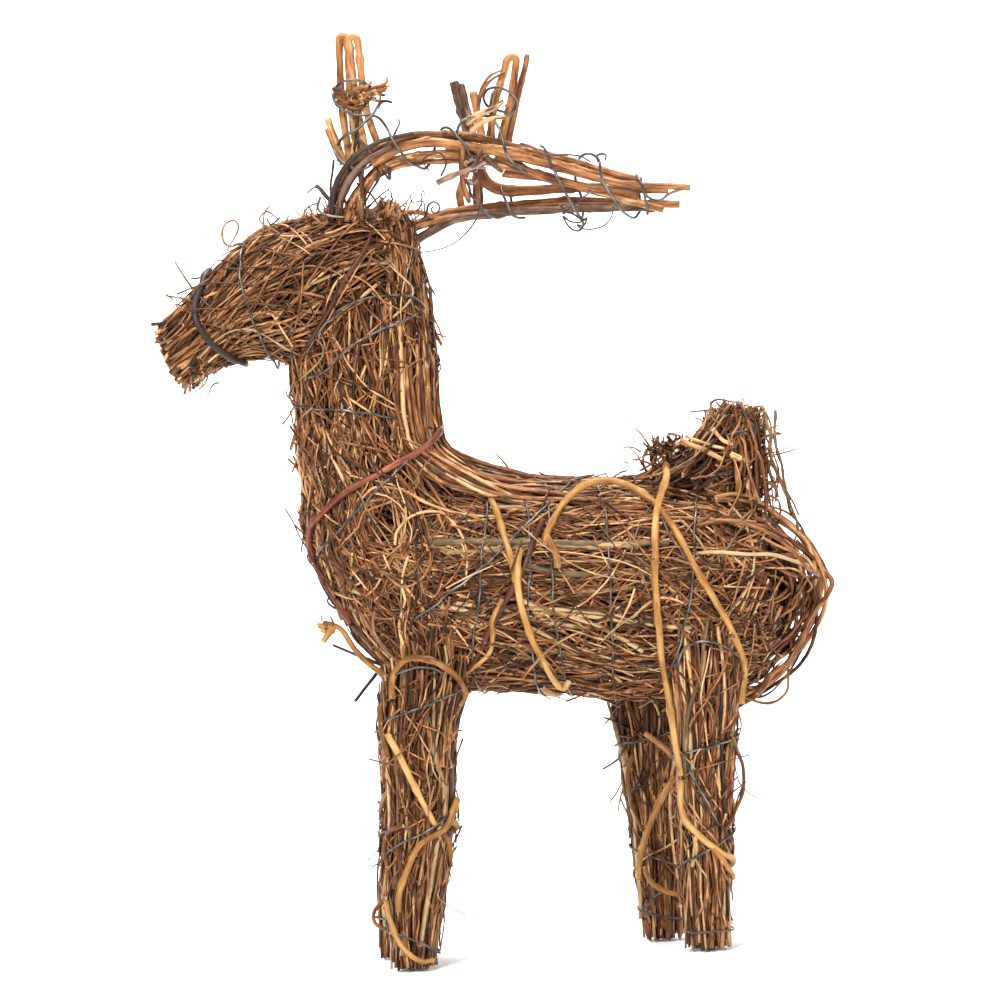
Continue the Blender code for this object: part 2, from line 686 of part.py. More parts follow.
def build_body_vines(group):
    over = OVER_VINE_LIFT - VINE_LIFT
    path = wrap(head, [(-104, -12), (-108, 45), (-110, 90), (-108, 140), (-106, 185), (-107, 250),
                       (-109, 300), (-112, 335)], 3, VINE_LIFT)
    tube("muzzle_vine", path, VINE_RADIUS * 0.9, "dark_vine", group)

    path = wrap(head, [(-41, 45), (-48, 70), (-56, 92), (-64, 115), (-71, 138), (-77, 165)], 4, VINE_LIFT)
    tube("cheek_vine", path, VINE_RADIUS * 0.85, "red_vine", group)

    path = wrap(neck, [(221, 250), (216, 215), (212, 178), (206, 140), (200, 108), (194, 78),
                       (189, 55)], 3, VINE_LIFT)
    chest = settle([(-71.0, -17.0, 183.0), (-77.0, -12.0, 176.0), (-80.0, -7.0, 167.0),
                    (-77.0, -6.0, 157.0), (-72.0, -8.0, 147.0), (-67.0, -11.0, 137.0)], VINE_LIFT)
    tube("collar_vine", smooth(list(path)[::2] + list(chest), 2), VINE_RADIUS, "red_vine", group)

    path = wrap(barrel, [(18.0, 58), (10.4, 77), (3.4, 99), (-6.0, 126), (-9.5, 150), (-8.0, 172)], 4,
                VINE_LIFT)
    tube("red_girth_vine", path, VINE_RADIUS, "red_vine", group)

    path = wrap(barrel, [(-5, 4), (-1, 40), (3, 74, 1.5), (5.5, 96, over), (7.5, 112, over),
                         (11, 136, 1.5), (14, 158), (20, 185), (27, 225), (25, 270, over), (16, 315),
                         (9, 350)], 3, VINE_LIFT)
    tube("golden_girth_vine", path, VINE_RADIUS * 0.95, "golden_vine", group)

    path = wrap(barrel, [(19.5, 82, 1.5), (18, 69, over), (24, 54, over), (32, 36, over),
                         (40, 22, 1.0), (50, 24, 2.0), (60, 38, over), (66.7, 52, over),
                         (73.8, 68, 1.0), (82.4, 86), (88.5, 102), (92.5, 120), (93.5, 138),
                         (91, 172)], 3, VINE_LIFT)
    tube("golden_back_vine", path, VINE_RADIUS, "golden_vine", group)

    on_barrel = wrap(barrel, [(68, -14), (67.5, 8), (64, 42), (60.5, 80), (59.5, 112)], 4, VINE_LIFT)
    on_leg = wrap(legs["rear_left"], [(108, 36), (99, 30), (88, 27), (77, 26)], 3, VINE_LIFT)
    tube("golden_haunch_vine", smooth(list(on_barrel)[::2] + list(on_leg)[::2], 2), VINE_RADIUS,
         "golden_vine", group)


def build_leg_vines(group):
    turns = {
        "front_left": [(118, 38), (121, 72), (117, 112), (107, 165), (102, 225), (98, 290),
                       (93, 370), (75, 432), (58, 478), (53, 492), (48, 470), (43, 440), (32, 422),
                       (18, 428), (6, 470)],
        "front_right": [(104, -60), (92, -150), (80, -240), (66, -330), (50, -420), (34, -510),
                        (18, -590)],
        "rear_left": [(70, -40), (60, 30), (46, 75), (30, 165), (24, 240), (20, 310)],
        "rear_right": [(84, 60), (68, 140), (52, 60), (36, 20), (28, 30), (20, 100), (16, 160)],
    }
    for name, rows in turns.items():
        path = wrap(legs[name], rows, 3, VINE_LIFT - VINE_RADIUS + LEG_VINE_RADIUS)
        tube(name + "_leg_vine", path, LEG_VINE_RADIUS, "golden_vine", group)


def build_leg_wires(group):
    for name, body in legs.items():
        path = helix(body, 12.0, 96.0, 20.0, 2.5, 10, WIRE_LIFT + 0.6)
        tube(name + "_leg_wire", path, WIRE_RADIUS, "steel_wire", group, resolution=0)


def build_body_wires(group):
    path = wrap(head, [(-88, 0), (-93, 90), (-91, 180), (-88, 270), (-85, 348)], 6, WIRE_LIFT + 0.6)
    tube("head_wire", path, WIRE_RADIUS, "steel_wire", group, resolution=0)

    path = wrap(neck, [(232, 50), (240, 90), (252, 140), (256, 180), (246, 240), (234, 300),
                       (226, 360), (219, 445), (211, 535)], 5, WIRE_LIFT + 0.6)
    tube("neck_wire", path, WIRE_RADIUS, "steel_wire", group, resolution=0)

    path = wrap(barrel, [(8, 0), (9.5, 90), (12.5, 180), (17, 270), (20, 360), (23, 450), (27, 540),
                         (33, 630), (38, 720), (41, 800), (43, 880)], 4, WIRE_LIFT + 0.8)
    tube("barrel_wire", path, WIRE_RADIUS, "steel_wire", group, resolution=0)

    path = wrap(barrel, [(42, -30), (36, 5), (20, 42), (6, 64), (-8, 82), (-24, 98), (-36, 112)], 5,
                OVER_WIRE_LIFT + 0.8)
    tube("shoulder_wire", path, WIRE_RADIUS, "steel_wire", group, resolution=0)

    path = wrap(tail, [(186, 60), (190, 150), (194, 260), (199, 370), (204, 480), (208, 600)], 5,
                WIRE_LIFT + 0.4)
    tube("tail_wire", path, WIRE_RADIUS, "steel_wire", group, resolution=0)


def wound(axis, across, upward, turns, per_turn, first_angle=0.0):
    """A wire wound round a line of (x, y, z) points, with half sizes across and upward."""
    dense = smooth(axis, 8)
    reach = np.linspace(0.0, 1.0, len(dense))
    count = int(turns * per_turn)
    path = []
    for step in range(count + 1):
        share = step / count
        x, y, z = [np.interp(share, reach, dense[:, column]) for column in range(3)]
        turn = math.radians(first_angle) + 2 * math.pi * turns * share
        path.append((x, y + across * math.sin(turn), z + upward * math.cos(turn)))
    return path


def build_antler_wires(group):
    left_y = np.interp(-22, *zip(*LEFT_SPREAD)) - 1.9
    path = wound([(-33, left_y + 1.0, 321.5), (-22, left_y, 323.5), (-9, left_y - 0.5, 323.0)],
                 7.4, 9.2, 2.5, 12)
    tube("left_antler_wire", path, WIRE_RADIUS, "steel_wire", group, resolution=0)

    right_axis = [(x, np.interp(x, *zip(*RIGHT_SPREAD)) - 2.0, z)
                  for x, z in ((12, 301.5), (24, 301.0), (36, 300.6))]
    path = wound(right_axis, 6.6, 8.6, 2.5, 12)
    tube("right_antler_wire", path, WIRE_RADIUS, "steel_wire", group, resolution=0)

    path = wound([(48, -0.6, 303.5), (58, -0.6, 301.0), (70, -0.6, 298.5)], 14.0, 14.0, 2.5, 14)
    tube("antler_tip_wire", path, WIRE_RADIUS, "steel_wire", group, resolution=0)


def main():
    clear_scene()
    parts = new_collection("twig_reindeer")
    cutter_group = new_collection("cutters")
    cutters = build_cutters(cutter_group)
    build_frame(parts)
    build_barrel(parts, cutters)
    build_caps(parts)
    build_neck(parts, cutters)
    build_head(parts, cutters)
    build_legs(parts, cutters)
    build_tail(parts, cutters)
    build_antlers(parts)
    build_body_vines(parts)
    build_leg_vines(parts)
    build_leg_wires(parts)
    build_body_wires(parts)
    build_antler_wires(parts)
    bpy.context.view_layer.update()


main()
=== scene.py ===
"""Reindeer of bundled twigs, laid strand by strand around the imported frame.

Lengths in the tables are in millimetres. The figure faces -X and its left side is -Y.
"""

import math

import bpy
import numpy as np
from mathutils import Matrix


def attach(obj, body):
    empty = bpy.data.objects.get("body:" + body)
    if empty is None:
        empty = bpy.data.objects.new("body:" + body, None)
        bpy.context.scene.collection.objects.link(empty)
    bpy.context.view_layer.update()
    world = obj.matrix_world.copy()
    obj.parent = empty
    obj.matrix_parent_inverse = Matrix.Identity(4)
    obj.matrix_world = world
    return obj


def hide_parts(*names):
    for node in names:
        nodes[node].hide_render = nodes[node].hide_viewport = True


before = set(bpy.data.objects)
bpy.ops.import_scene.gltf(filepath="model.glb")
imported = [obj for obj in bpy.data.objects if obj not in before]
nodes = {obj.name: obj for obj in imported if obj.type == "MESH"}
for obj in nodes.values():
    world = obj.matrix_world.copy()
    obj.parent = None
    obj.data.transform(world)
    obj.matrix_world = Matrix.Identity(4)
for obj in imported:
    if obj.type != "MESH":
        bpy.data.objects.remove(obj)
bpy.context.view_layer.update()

MM = 0.001
LEFT = np.array([0.0, -1.0, 0.0])

# Bundles as stations along a centre line: (key, centre x, centre z, half height, half width, tilt).
# They follow the bodies of the CAD model; the chest, neck and head are a little slimmer.

BARREL = [
    (-76.4, -76.4, 178.0, 7.0, 5.5, 0), (-74.5, -74.5, 178.5, 17.5, 12.5, 0),
    (-70.0, -70.0, 175.0, 22.0, 19.0, 0), (-62.0, -62.0, 167.0, 30.0, 27.0, 0),
    (-55.0, -55.0, 162.2, 35.3, 30.5, 0), (-48.0, -48.0, 159.2, 38.2, 33.0, 0),
    (-30.0, -30.0, 152.5, 43.5, 35.5, 0), (-10.0, -10.0, 150.0, 42.5, 36.0, 0),
    (20.0, 20.0, 147.0, 42.0, 35.0, 0), (40.0, 40.0, 144.5, 43.5, 35.0, 0),
    (65.0, 65.0, 142.8, 43.8, 36.5, 0), (85.0, 85.0, 140.8, 40.2, 34.0, 0),
    (98.0, 98.0, 140.0, 36.0, 30.0, 0), (110.0, 110.0, 140.2, 30.2, 24.5, 0),
    (120.0, 120.0, 140.0, 21.5, 17.0, 0), (127.0, 127.0, 139.5, 12.0, 9.5, 0),
    (130.5, 130.5, 139.0, 5.0, 4.0, 0),
]
NECK = [
    (160.0, -40.0, 160.0, 22.0, 20.0, 90), (176.0, -43.0, 176.0, 25.0, 22.0, 90),
    (190.0, -45.5, 190.0, 28.0, 23.5, 90), (200.0, -47.3, 200.0, 28.8, 23.3, 90),
    (222.0, -49.3, 222.0, 27.5, 22.0, 90), (240.0, -48.9, 240.0, 29.0, 22.0, 90),
    (260.0, -48.3, 260.0, 27.6, 20.5, 90), (275.0, -45.8, 275.0, 23.6, 17.0, 90),
    (288.0, -44.0, 288.0, 19.0, 14.0, 90), (296.0, -42.0, 296.0, 16.0, 12.0, 90),
    (302.0, -41.0, 302.0, 11.0, 8.0, 90),
]
HEAD = [
    (-128.0, -128.0, 247.5, 11.6, 11.2, 22), (-125.5, -125.5, 249.2, 12.4, 11.8, 21),
    (-109.5, -109.5, 259.5, 16.4, 15.0, 14), (-94.0, -94.0, 267.3, 21.4, 18.5, 12),
    (-78.0, -78.0, 269.8, 27.8, 21.5, 9), (-61.0, -61.0, 271.8, 29.0, 23.5, 5),
    (-46.0, -46.0, 274.5, 26.0, 22.5, 0), (-34.0, -34.0, 276.0, 17.5, 17.5, 0),
]
TAIL = [
    (168.0, 85.0, 168.0, 12.5, 11.0, 90), (184.0, 89.5, 184.0, 12.0, 10.5, 90),
    (196.0, 94.5, 196.0, 11.5, 10.0, 90), (206.0, 97.5, 206.0, 9.5, 8.5, 90),
    (213.0, 99.0, 213.0, 6.0, 5.5, 90),
]
CHEST = [
    (108.0, -29.0, 108.0, 11.0, 24.0, 90), (117.0, -29.0, 117.0, 18.0, 30.0, 90),
    (127.0, -30.0, 127.0, 25.5, 33.0, 90), (138.0, -31.0, 138.0, 31.0, 34.5, 90),
    (152.0, -33.0, 152.0, 35.5, 35.0, 90), (168.0, -34.5, 168.0, 40.6, 34.0, 90),
    (180.0, -36.0, 180.0, 41.0, 31.0, 90), (192.0, -40.0, 192.0, 36.0, 26.5, 90),
    (205.0, -46.0, 205.0, 30.0, 23.6, 90), (222.0, -49.3, 222.0, 27.7, 22.2, 90),
]
FRONT_LEG = [
    (0.0, 0.0, 8.6, 8.6), (16.0, 1.6, 10.0, 9.8), (33.0, 3.6, 11.8, 11.5), (56.0, 7.2, 12.6, 12.3),
    (75.0, 8.4, 13.0, 12.8), (95.0, 9.0, 14.4, 13.5), (112.0, 12.4, 15.8, 14.0),
    (128.0, 14.0, 17.0, 14.0), (142.0, 14.0, 14.0, 11.0),
]
REAR_LEG = [
    (0.0, 0.0, 8.4, 8.6), (16.0, 0.2, 8.9, 9.2), (30.0, 0.8, 9.5, 9.8), (45.0, 1.4, 10.2, 10.6),
    (66.0, 2.6, 11.3, 11.8), (85.0, 3.8, 12.2, 12.8), (101.0, 5.0, 13.8, 13.6),
    (128.0, 6.2, 15.6, 14.0), (142.0, 6.2, 13.0, 11.0),
]
LEG_Y = 20.9
# Each leg: (stations, foot x, how far its lean follows the stations, side)
LEGS = {
    "front_left": (FRONT_LEG, -44.6, 1.0, -1),
    "front_right": (FRONT_LEG, -50.0, 1.2, 1),
    "rear_left": (REAR_LEG, 72.6, 1.0, -1),
    "rear_right": (REAR_LEG, 56.6, -0.4, 1),
}


# Curves and bodies

def unit(rows):
    """The rows, each scaled to length one."""
    return rows / np.maximum(np.linalg.norm(rows, axis=-1, keepdims=True), 1e-9)


def smooth(rows, per_span):
    """Catmull-Rom rows through the given rows, per_span steps between each two."""
    rows = np.array(rows, dtype=float)
    padded = np.concatenate([2 * rows[:1] - rows[1:2], rows, 2 * rows[-1:] - rows[-2:-1]])
    before, start, end, after = padded[:-3], padded[1:-2], padded[2:-1], padded[3:]
    spans = []
    for step in range(per_span):
        t = step / per_span
        spans.append(0.5 * (2 * start + (end - before) * t
                            + (2 * before - 5 * start + 4 * end - after) * t ** 2
                            + (3 * start - before - 3 * end + after) * t ** 3))
    dense = np.stack(spans, axis=1).reshape(-1, *rows.shape[1:])
    return np.concatenate([dense, rows[-1:]])


class Body:
    """A bundle with elliptical sections, which strands can be laid on."""

    def __init__(self, rows, middle_y=0.0):
        self.rows = smooth(rows, 4)
        self.middle_y = middle_y
        self.axis = 2 if rows[0][5] > 45 else 0

    def at(self, key):
        """Centres, up directions and the two half sizes at stations."""
        x, z, high, wide, tilt = [np.interp(key, self.rows[:, 0], self.rows[:, column])
                                  for column in range(1, 6)]
        turn = np.radians(tilt)
        centre = np.stack([x, np.full_like(x, self.middle_y), z], axis=-1)
        up = np.stack([-np.sin(turn), np.zeros_like(x), np.cos(turn)], axis=-1)
        return centre, up, high, wide

    def point(self, key, angle, lift=0.0):
        """Surface points at angles from the section's up direction, lifted off the surface."""
        key, angle, lift = np.broadcast_arrays(np.asarray(key, float), np.asarray(angle, float), lift)
        centre, up, high, wide = self.at(key)
        turn = np.radians(angle)
        rise = np.maximum(high + lift, 0.5) * np.cos(turn)
        side = np.maximum(wide + lift, 0.5) * np.sin(turn)
        return centre + up * rise[..., None] + LEFT * side[..., None]

    def push_out(self, points, clearance):
        """The points, with those nearer than the clearance moved out to it."""
        key = points[..., self.axis]
        centre, up, high, wide = self.at(key)
        offset = points - centre
        rise = (offset * up).sum(-1)
        side = (offset * LEFT).sum(-1)
        reach = np.hypot(rise / (high + clearance), side / (wide + clearance))
        inside = (reach < 1.0) & (reach > 1e-6)
        inside &= (key > self.rows[0, 0] - clearance) & (key < self.rows[-1, 0] + clearance)
        scale = np.where(inside, 1.0 / np.maximum(reach, 1e-6) - 1.0, 0.0)
        return points + (up * rise[..., None] + LEFT * side[..., None]) * scale[..., None]


def leg_rows(stations, foot_x, lean):
    """A leg's stations, placed over its foot."""
    return [(height, foot_x + shift * lean, height, along, across, 90)
            for height, shift, along, across in stations]


barrel = Body(BARREL)
neck = Body(NECK)
head = Body(HEAD)
tail = Body(TAIL)
chest = Body(CHEST)
legs = {name: Body(leg_rows(rows, foot, lean), side * LEG_Y)
        for name, (rows, foot, lean, side) in LEGS.items()}
ALL_BODIES = [barrel, neck, head, tail] + list(legs.values())


def settle(points, clearance, bodies=ALL_BODIES):
    """The points, laid on the outside of every body."""
    for _ in range(4):
        for body in bodies:
            points = body.push_out(points, clearance)
    return points


def wrap(body, turns, lift, per_span=10):
    """A path round a body through (station, angle) rows."""
    dense = smooth(turns, per_span)
    return settle(body.point(dense[:, 0], dense[:, 1], lift), lift)


def face(bodies, points, lift=1.2, per_span=8):
    """A path over the left face of a few bodies, through (x, z) points."""
    dense = smooth(points, per_span)
    reach = np.zeros(len(dense))
    for body in bodies:
        key = np.clip(dense[:, 1 if body.axis == 2 else 0], body.rows[0, 0], body.rows[-1, 0])
        centre, up, high, wide = body.at(key)
        rise = (dense[:, 0] - centre[:, 0]) * up[:, 0] + (dense[:, 1] - centre[:, 2]) * up[:, 2]
        share = np.clip(rise / (high + lift), -0.97, 0.97)
        reach = np.maximum(reach, -body.middle_y + (wide + lift) * np.sqrt(1.0 - share ** 2))
    return np.stack([dense[:, 0], -reach, dense[:, 1]], axis=-1)


def waves(rng, count, points, cycles=2.0):
    """Smooth random lines around zero, one row for each strand."""
    t = np.linspace(0.0, 1.0, points)
    total = np.zeros((count, points))
    for size in (1.0, 0.6, 0.35):
        rate = rng.uniform(0.4, 1.0, (count, 1)) * cycles / size
        total += size * np.sin(2 * np.pi * (rate * t + rng.uniform(0, 1, (count, 1))))
    return total


def kinks(rng, count, points, size):
    """Small bends at nodes: slopes that change at a few places."""
    t = np.linspace(0.0, 1.0, points)
    total = np.zeros((count, points))
    for _ in range(3):
        total += rng.normal(0, size, (count, 1)) * np.abs(t - rng.uniform(0.1, 0.9, (count, 1)))
    return total - total.mean(axis=1, keepdims=True)


# Strands to meshes

def tube_rings(paths, radii, sides, rough, rng):
    """Rings of points around each path: (strands, points, sides, 3), and each ring's angles."""
    tangent = unit(np.gradient(paths, axis=1))
    reference = np.where(np.abs(tangent[:, :1, 2:]) < 0.8, [0.0, 0.0, 1.0], [1.0, 0.0, 0.0])
    side = np.empty_like(paths)
    side[:, 0] = unit(np.cross(tangent[:, 0], reference[:, 0]))
    for step in range(1, paths.shape[1]):
        along = tangent[:, step]
        last = side[:, step - 1]
        side[:, step] = unit(last - (last * along).sum(-1, keepdims=True) * along)
    other = np.cross(tangent, side)
    turn = 2 * np.pi * np.arange(sides) / sides
    bumps = rng.normal(0.0, 1.0, radii.shape + (sides,))
    for _ in range(2):
        bumps[:, 1:-1] = 0.25 * bumps[:, :-2] + 0.5 * bumps[:, 1:-1] + 0.25 * bumps[:, 2:]
    reach = radii[..., None] * (1.0 + rough * bumps)
    ring = (side[:, :, None] * np.cos(turn)[:, None] + other[:, :, None] * np.sin(turn)[:, None])
    return paths[:, :, None] + ring * reach[..., None], turn, reach


# Gaps in the left side of the twigs: x, z, half length, half height

GAPS = [(-45.0, 177.5, 7.0, 8.5), (-43.0, 145.5, 4.4, 3.6)]
GAP_START_Y = -6.0          # the gaps open from here out to the left
GAP_FADE = 3.0              # how many gap sizes away the strands still bend
GAPPED = ("left_flank_mat_twigs", "chest_mat_twigs", "neck_throat_twigs", "neck_nape_twigs")


def part_strands(paths):
    """The paths, bent to both sides around the gaps."""
    paths = paths.copy()
    for x, z, long, high in GAPS:
        near = np.clip((GAP_START_Y - paths[..., 1]) / -GAP_START_Y, 0.0, 1.0)
        aside = (paths[..., 0] - x) / long
        above = (paths[..., 2] - z) / high
        reach = np.maximum(np.hypot(aside, above), 0.05)
        push = np.sqrt(reach ** 2 + 1.0) / reach - 1.0
        scale = 1.0 + near * push * np.exp(-(reach / GAP_FADE) ** 2)
        paths[..., 0] = x + aside * scale * long
        paths[..., 2] = z + above * scale * high
    return paths


# The texture is a grid of cells. A cell holds one strand, unrolled, with its two cut ends beside it.

FEW_STRANDS = 40            # a bundle of fewer strands folds the long ones over several cells
FOLD_LENGTH = 45.0
CELL_LEFT, CELL_LENGTH = 0.02, 0.9
CELL_BOTTOM, CELL_HEIGHT = 0.08, 0.84
CAP_MIDDLE = 0.96
CAP_LEVELS = (0.27, 0.73)
CAP_SIZE = (0.03, 0.18)


class Bundle:
    """Strands that become one mesh."""

    def __init__(self, name, seed):
        self.name = name
        self.rng = np.random.default_rng(seed)
        self.batches = []
        self.fades = {}
        self.gapped = name in GAPPED

    def add(self, paths, radii, tone, sides=5, rough=0.07, spread=0.25, peel=0.0, hue=None):
        """Adds strands with one count of points. Tone is dark to light, from 0 to 1, or (start, end)."""
        paths = np.asarray(paths, float)
        if paths.ndim == 2:
            paths = paths[None]
        elif self.gapped:
            paths = part_strands(paths)
        count = len(paths)
        radii = np.broadcast_to(np.asarray(radii, float), paths.shape[:2]).copy()
        if isinstance(tone, tuple):
            self.fades[len(self.batches)] = tone
            tone = 0.0
            spread = 0.0
        look = np.stack([np.clip(self.rng.normal(tone, spread, count), 0.0, 1.0),
                         self.rng.uniform(0.0, 1.0, count) if hue is None else np.full(count, hue),
                         np.clip(self.rng.exponential(0.25, count) + peel, 0.0, 1.0)], axis=-1)
        self.batches.append((paths, radii, look, sides, rough))

    def spurs(self, paths, radii, share, length=(4.0, 9.0), tone=0.5):
        """Short side shoots on some of the strands."""
        pick = np.flatnonzero(self.rng.uniform(size=len(paths)) < share)
        if len(pick) == 0:
            return
        spot = self.rng.integers(2, paths.shape[1] - 2, len(pick))
        root = paths[pick, spot]
        along = unit(paths[pick, spot + 1] - paths[pick, spot - 1])
        along *= self.rng.choice([-1.0, 1.0], (len(pick), 1))
        aside = unit(np.cross(along, self.rng.normal(size=(len(pick), 3))))
        t = np.linspace(0.0, 1.0, 5)[None, :, None]
        reach = self.rng.uniform(*length, (len(pick), 1, 1))
        bend = self.rng.uniform(0.5, 1.1, (len(pick), 1, 1))
        shoot = root[:, None] + reach * (along[:, None] * t * 0.8 + aside[:, None] * bend * t ** 0.8)
        width = radii[pick, spot][:, None] * np.linspace(0.75, 0.4, 5)[None]
        self.add(shoot, width, tone)

    def texture_grid(self):
        """How many cells a strand of each batch takes, and the columns and rows of cells."""
        lengths = [np.linalg.norm(np.diff(paths, axis=1), axis=-1).sum(axis=1).mean()
                   for paths, *_ in self.batches]
        total = sum(len(paths) for paths, *_ in self.batches)
        folds = [max(1, int(length / FOLD_LENGTH)) if total < FEW_STRANDS else 1 for length in lengths]
        cells = sum(len(batch[0]) * fold for batch, fold in zip(self.batches, folds))
        mean_length = np.mean(lengths) / np.mean(folds)
        mean_girth = 2 * np.pi * np.mean([radii.mean() for _, radii, *_ in self.batches])
        columns = max(1, int(round(math.sqrt(cells * mean_girth / mean_length))))
        return folds, columns, int(math.ceil(cells / columns))

    def make_mesh(self, places, quads, caps, attributes, strips):
        """The mesh of all strands: side quads and cap triangles."""
        mesh = bpy.data.meshes.new(self.name)
        mesh.vertices.add(len(places))
        mesh.vertices.foreach_set("co", places.ravel())
        corners = np.concatenate([quads.ravel(), caps.ravel()])
        mesh.loops.add(len(corners))
        mesh.loops.foreach_set("vertex_index", corners)
        starts = np.concatenate([4 * np.arange(len(quads)), 4 * len(quads) + 3 * np.arange(len(caps))])
        mesh.polygons.add(len(starts))
        mesh.polygons.foreach_set("loop_start", starts)
        mesh.update(calc_edges=True)
        is_cap = np.arange(len(starts)) >= len(quads)
        mesh.polygons.foreach_set("use_smooth", ~is_cap)
        for name, values in attributes.items():
            layer = mesh.attributes.new(name, "FLOAT_VECTOR", "POINT")
            layer.data.foreach_set("vector", np.concatenate(values).ravel())
        mesh.attributes.new("cut", "FLOAT", "FACE").data.foreach_set("value", is_cap.astype(float))
        mesh.uv_layers.new(name="OFBake").uv.foreach_set("vector", np.concatenate(strips).ravel())
        return mesh

    def build(self, material, replaces=()):
        """Makes the piece, with its bark coordinates, looks and texture strips."""
        folds, columns, rows = self.texture_grid()
        vertices, grain, looks, quads, caps, uv_quads, uv_caps = [], [], [], [], [], [], []
        base, cell_base = 0, 0
        for number, (paths, radii, look, sides, rough) in enumerate(self.batches):
            fold = folds[number]
            rings, turn, reach = tube_rings(paths, radii, sides, rough, self.rng)
            count, points = radii.shape
            steps = np.linalg.norm(np.diff(paths, axis=1), axis=-1)
            along = np.concatenate([np.zeros((count, 1)), np.cumsum(steps, axis=1)], axis=1)
            along += self.rng.uniform(0, 4000, (count, 1))
            coords = np.stack([np.broadcast_to(along[..., None], reach.shape),
                               reach * np.cos(turn), reach * np.sin(turn)], axis=-1)
            ends = np.stack([paths[:, 0], paths[:, -1]], axis=1)
            end_coords = np.zeros((count, 2, 3))
            end_coords[..., 0] = along[:, [0, -1]]
            size = points * sides
            vertices += [rings.reshape(-1, 3), ends.reshape(-1, 3)]
            grain += [coords.reshape(-1, 3), end_coords.reshape(-1, 3)]
            shade = np.repeat(look, size, axis=0)
            shade[:, 0] += np.repeat(0.06 * waves(self.rng, count, points), sides, axis=1).ravel()
            if number in self.fades:
                shade[:, 0] += np.repeat(np.linspace(*self.fades[number], points), sides)
            looks += [shade, np.repeat(look, 2, axis=0)]
            strand = np.arange(count)[:, None, None]
            step = np.arange(points - 1)[None, :, None]
            edge = np.arange(sides)[None, None, :]
            following = (edge + 1) % sides
            corner = base + strand * size + step * sides
            quads.append(np.stack([corner + edge, corner + following, corner + sides + following,
                                   corner + sides + edge], axis=-1).reshape(-1, 4))
            per_fold = -(-(points - 1) // fold)
            cell = cell_base + strand * fold + step // per_fold
            u = (step % per_fold) / per_fold
            u_low = (cell % columns + CELL_LEFT + CELL_LENGTH * u) / columns
            u_high = (cell % columns + CELL_LEFT + CELL_LENGTH * (u + 1.0 / per_fold)) / columns
            v_low = (cell // columns + CELL_BOTTOM + CELL_HEIGHT * edge / sides) / rows
            v_high = (cell // columns + CELL_BOTTOM + CELL_HEIGHT * (edge + 1) / sides) / rows
            u_low, u_high, v_low, v_high = np.broadcast_arrays(u_low, u_high, v_low, v_high)
            uv_quads.append(np.stack([u_low, v_low, u_low, v_high, u_high, v_high, u_high, v_low],
                                     axis=-1).reshape(-1, 2))
            ring_edge = np.arange(sides)[None, :]
            ring_next = (ring_edge + 1) % sides
            first = base + np.arange(count)[:, None] * size
            last = first + size - sides
            hub = base + count * size + 2 * np.arange(count)[:, None]
            hub = np.broadcast_to(hub, (count, sides))
            caps.append(np.stack([hub, first + ring_next, first + ring_edge], axis=-1).reshape(-1, 3))
            caps.append(np.stack([hub + 1, last + ring_edge, last + ring_next], axis=-1).reshape(-1, 3))
            cap_cell = cell_base + np.arange(count)[:, None] * fold
            for level, order in zip(CAP_LEVELS, ((1, 0), (0, 1))):
                middle_u = np.broadcast_to((cap_cell % columns + CAP_MIDDLE) / columns, (count, sides))
                middle_v = np.broadcast_to((cap_cell // columns + level) / rows, (count, sides))
                uv = [middle_u, middle_v]
                for shift in order:
                    corner_turn = turn[(ring_edge[0] + shift) % sides]
                    uv += [middle_u + CAP_SIZE[0] * np.cos(corner_turn) / columns,
                           middle_v + CAP_SIZE[1] * np.sin(corner_turn) / rows]
                uv_caps.append(np.stack(uv, axis=-1).reshape(-1, 2))
            base += count * (size + 2)
            cell_base += count * fold
        mesh = self.make_mesh(np.concatenate(vertices) * MM, np.concatenate(quads), np.concatenate(caps),
                              {"grain": grain, "look": looks}, uv_quads + uv_caps)
        mesh.materials.append(material)
        piece = bpy.data.objects.new(self.name, mesh)
        bpy.context.scene.collection.objects.link(piece)
        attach(piece, "root")
        if replaces:
            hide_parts(*replaces)


# Materials

def add_node(tree, kind, inputs=(), **settings):
    """A new node. An input is a value, or a socket to link from."""
    item = tree.nodes.new(kind)
    for key, value in settings.items():
        setattr(item, key, value)
    for key, value in dict(inputs).items():
        if isinstance(value, bpy.types.NodeSocket):
            tree.links.new(value, item.inputs[key])
        else:
            item.inputs[key].default_value = value
    return item


def new_material(name):
    """A material, its node tree and its shader."""
    material = bpy.data.materials.new(name)
    material.use_nodes = True
    tree = material.node_tree
    return material, tree, tree.nodes["Principled BSDF"]


def combine(tree, operation, first, second=0.0):
    return add_node(tree, "ShaderNodeMath", {0: first, 1: second}, operation=operation).outputs[0]


def ramp(tree, factor, stops):
    item = add_node(tree, "ShaderNodeValToRGB", {"Fac": factor})
    while len(item.color_ramp.elements) < len(stops):
        item.color_ramp.elements.new(0.5)
    for element, (place, colour) in zip(item.color_ramp.elements, stops):
        element.position = place
        element.color = (*colour, 1.0)
    return item.outputs[0]


def blend_colours(tree, factor, first, second, blend_type="MIX"):
    item = add_node(tree, "ShaderNodeMix", data_type="RGBA", blend_type=blend_type)
    for index, value in ((0, factor), (6, first), (7, second)):
        if isinstance(value, bpy.types.NodeSocket):
            tree.links.new(value, item.inputs[index])
        else:
            item.inputs[index].default_value = value if index == 0 else (*value, 1.0)
    return item.outputs[2]


def noise(tree, vector, scale, stretch=(1.0, 1.0, 1.0), detail=3.0, roughness=0.55):
    """Noise on the bark coordinates, which run in millimetres along and across the strand."""
    placed = add_node(tree, "ShaderNodeMapping", {"Vector": vector, "Scale": stretch}).outputs[0]
    return add_node(tree, "ShaderNodeTexNoise", {"Vector": placed, "Scale": scale, "Detail": detail,
                                                 "Roughness": roughness}).outputs[0]


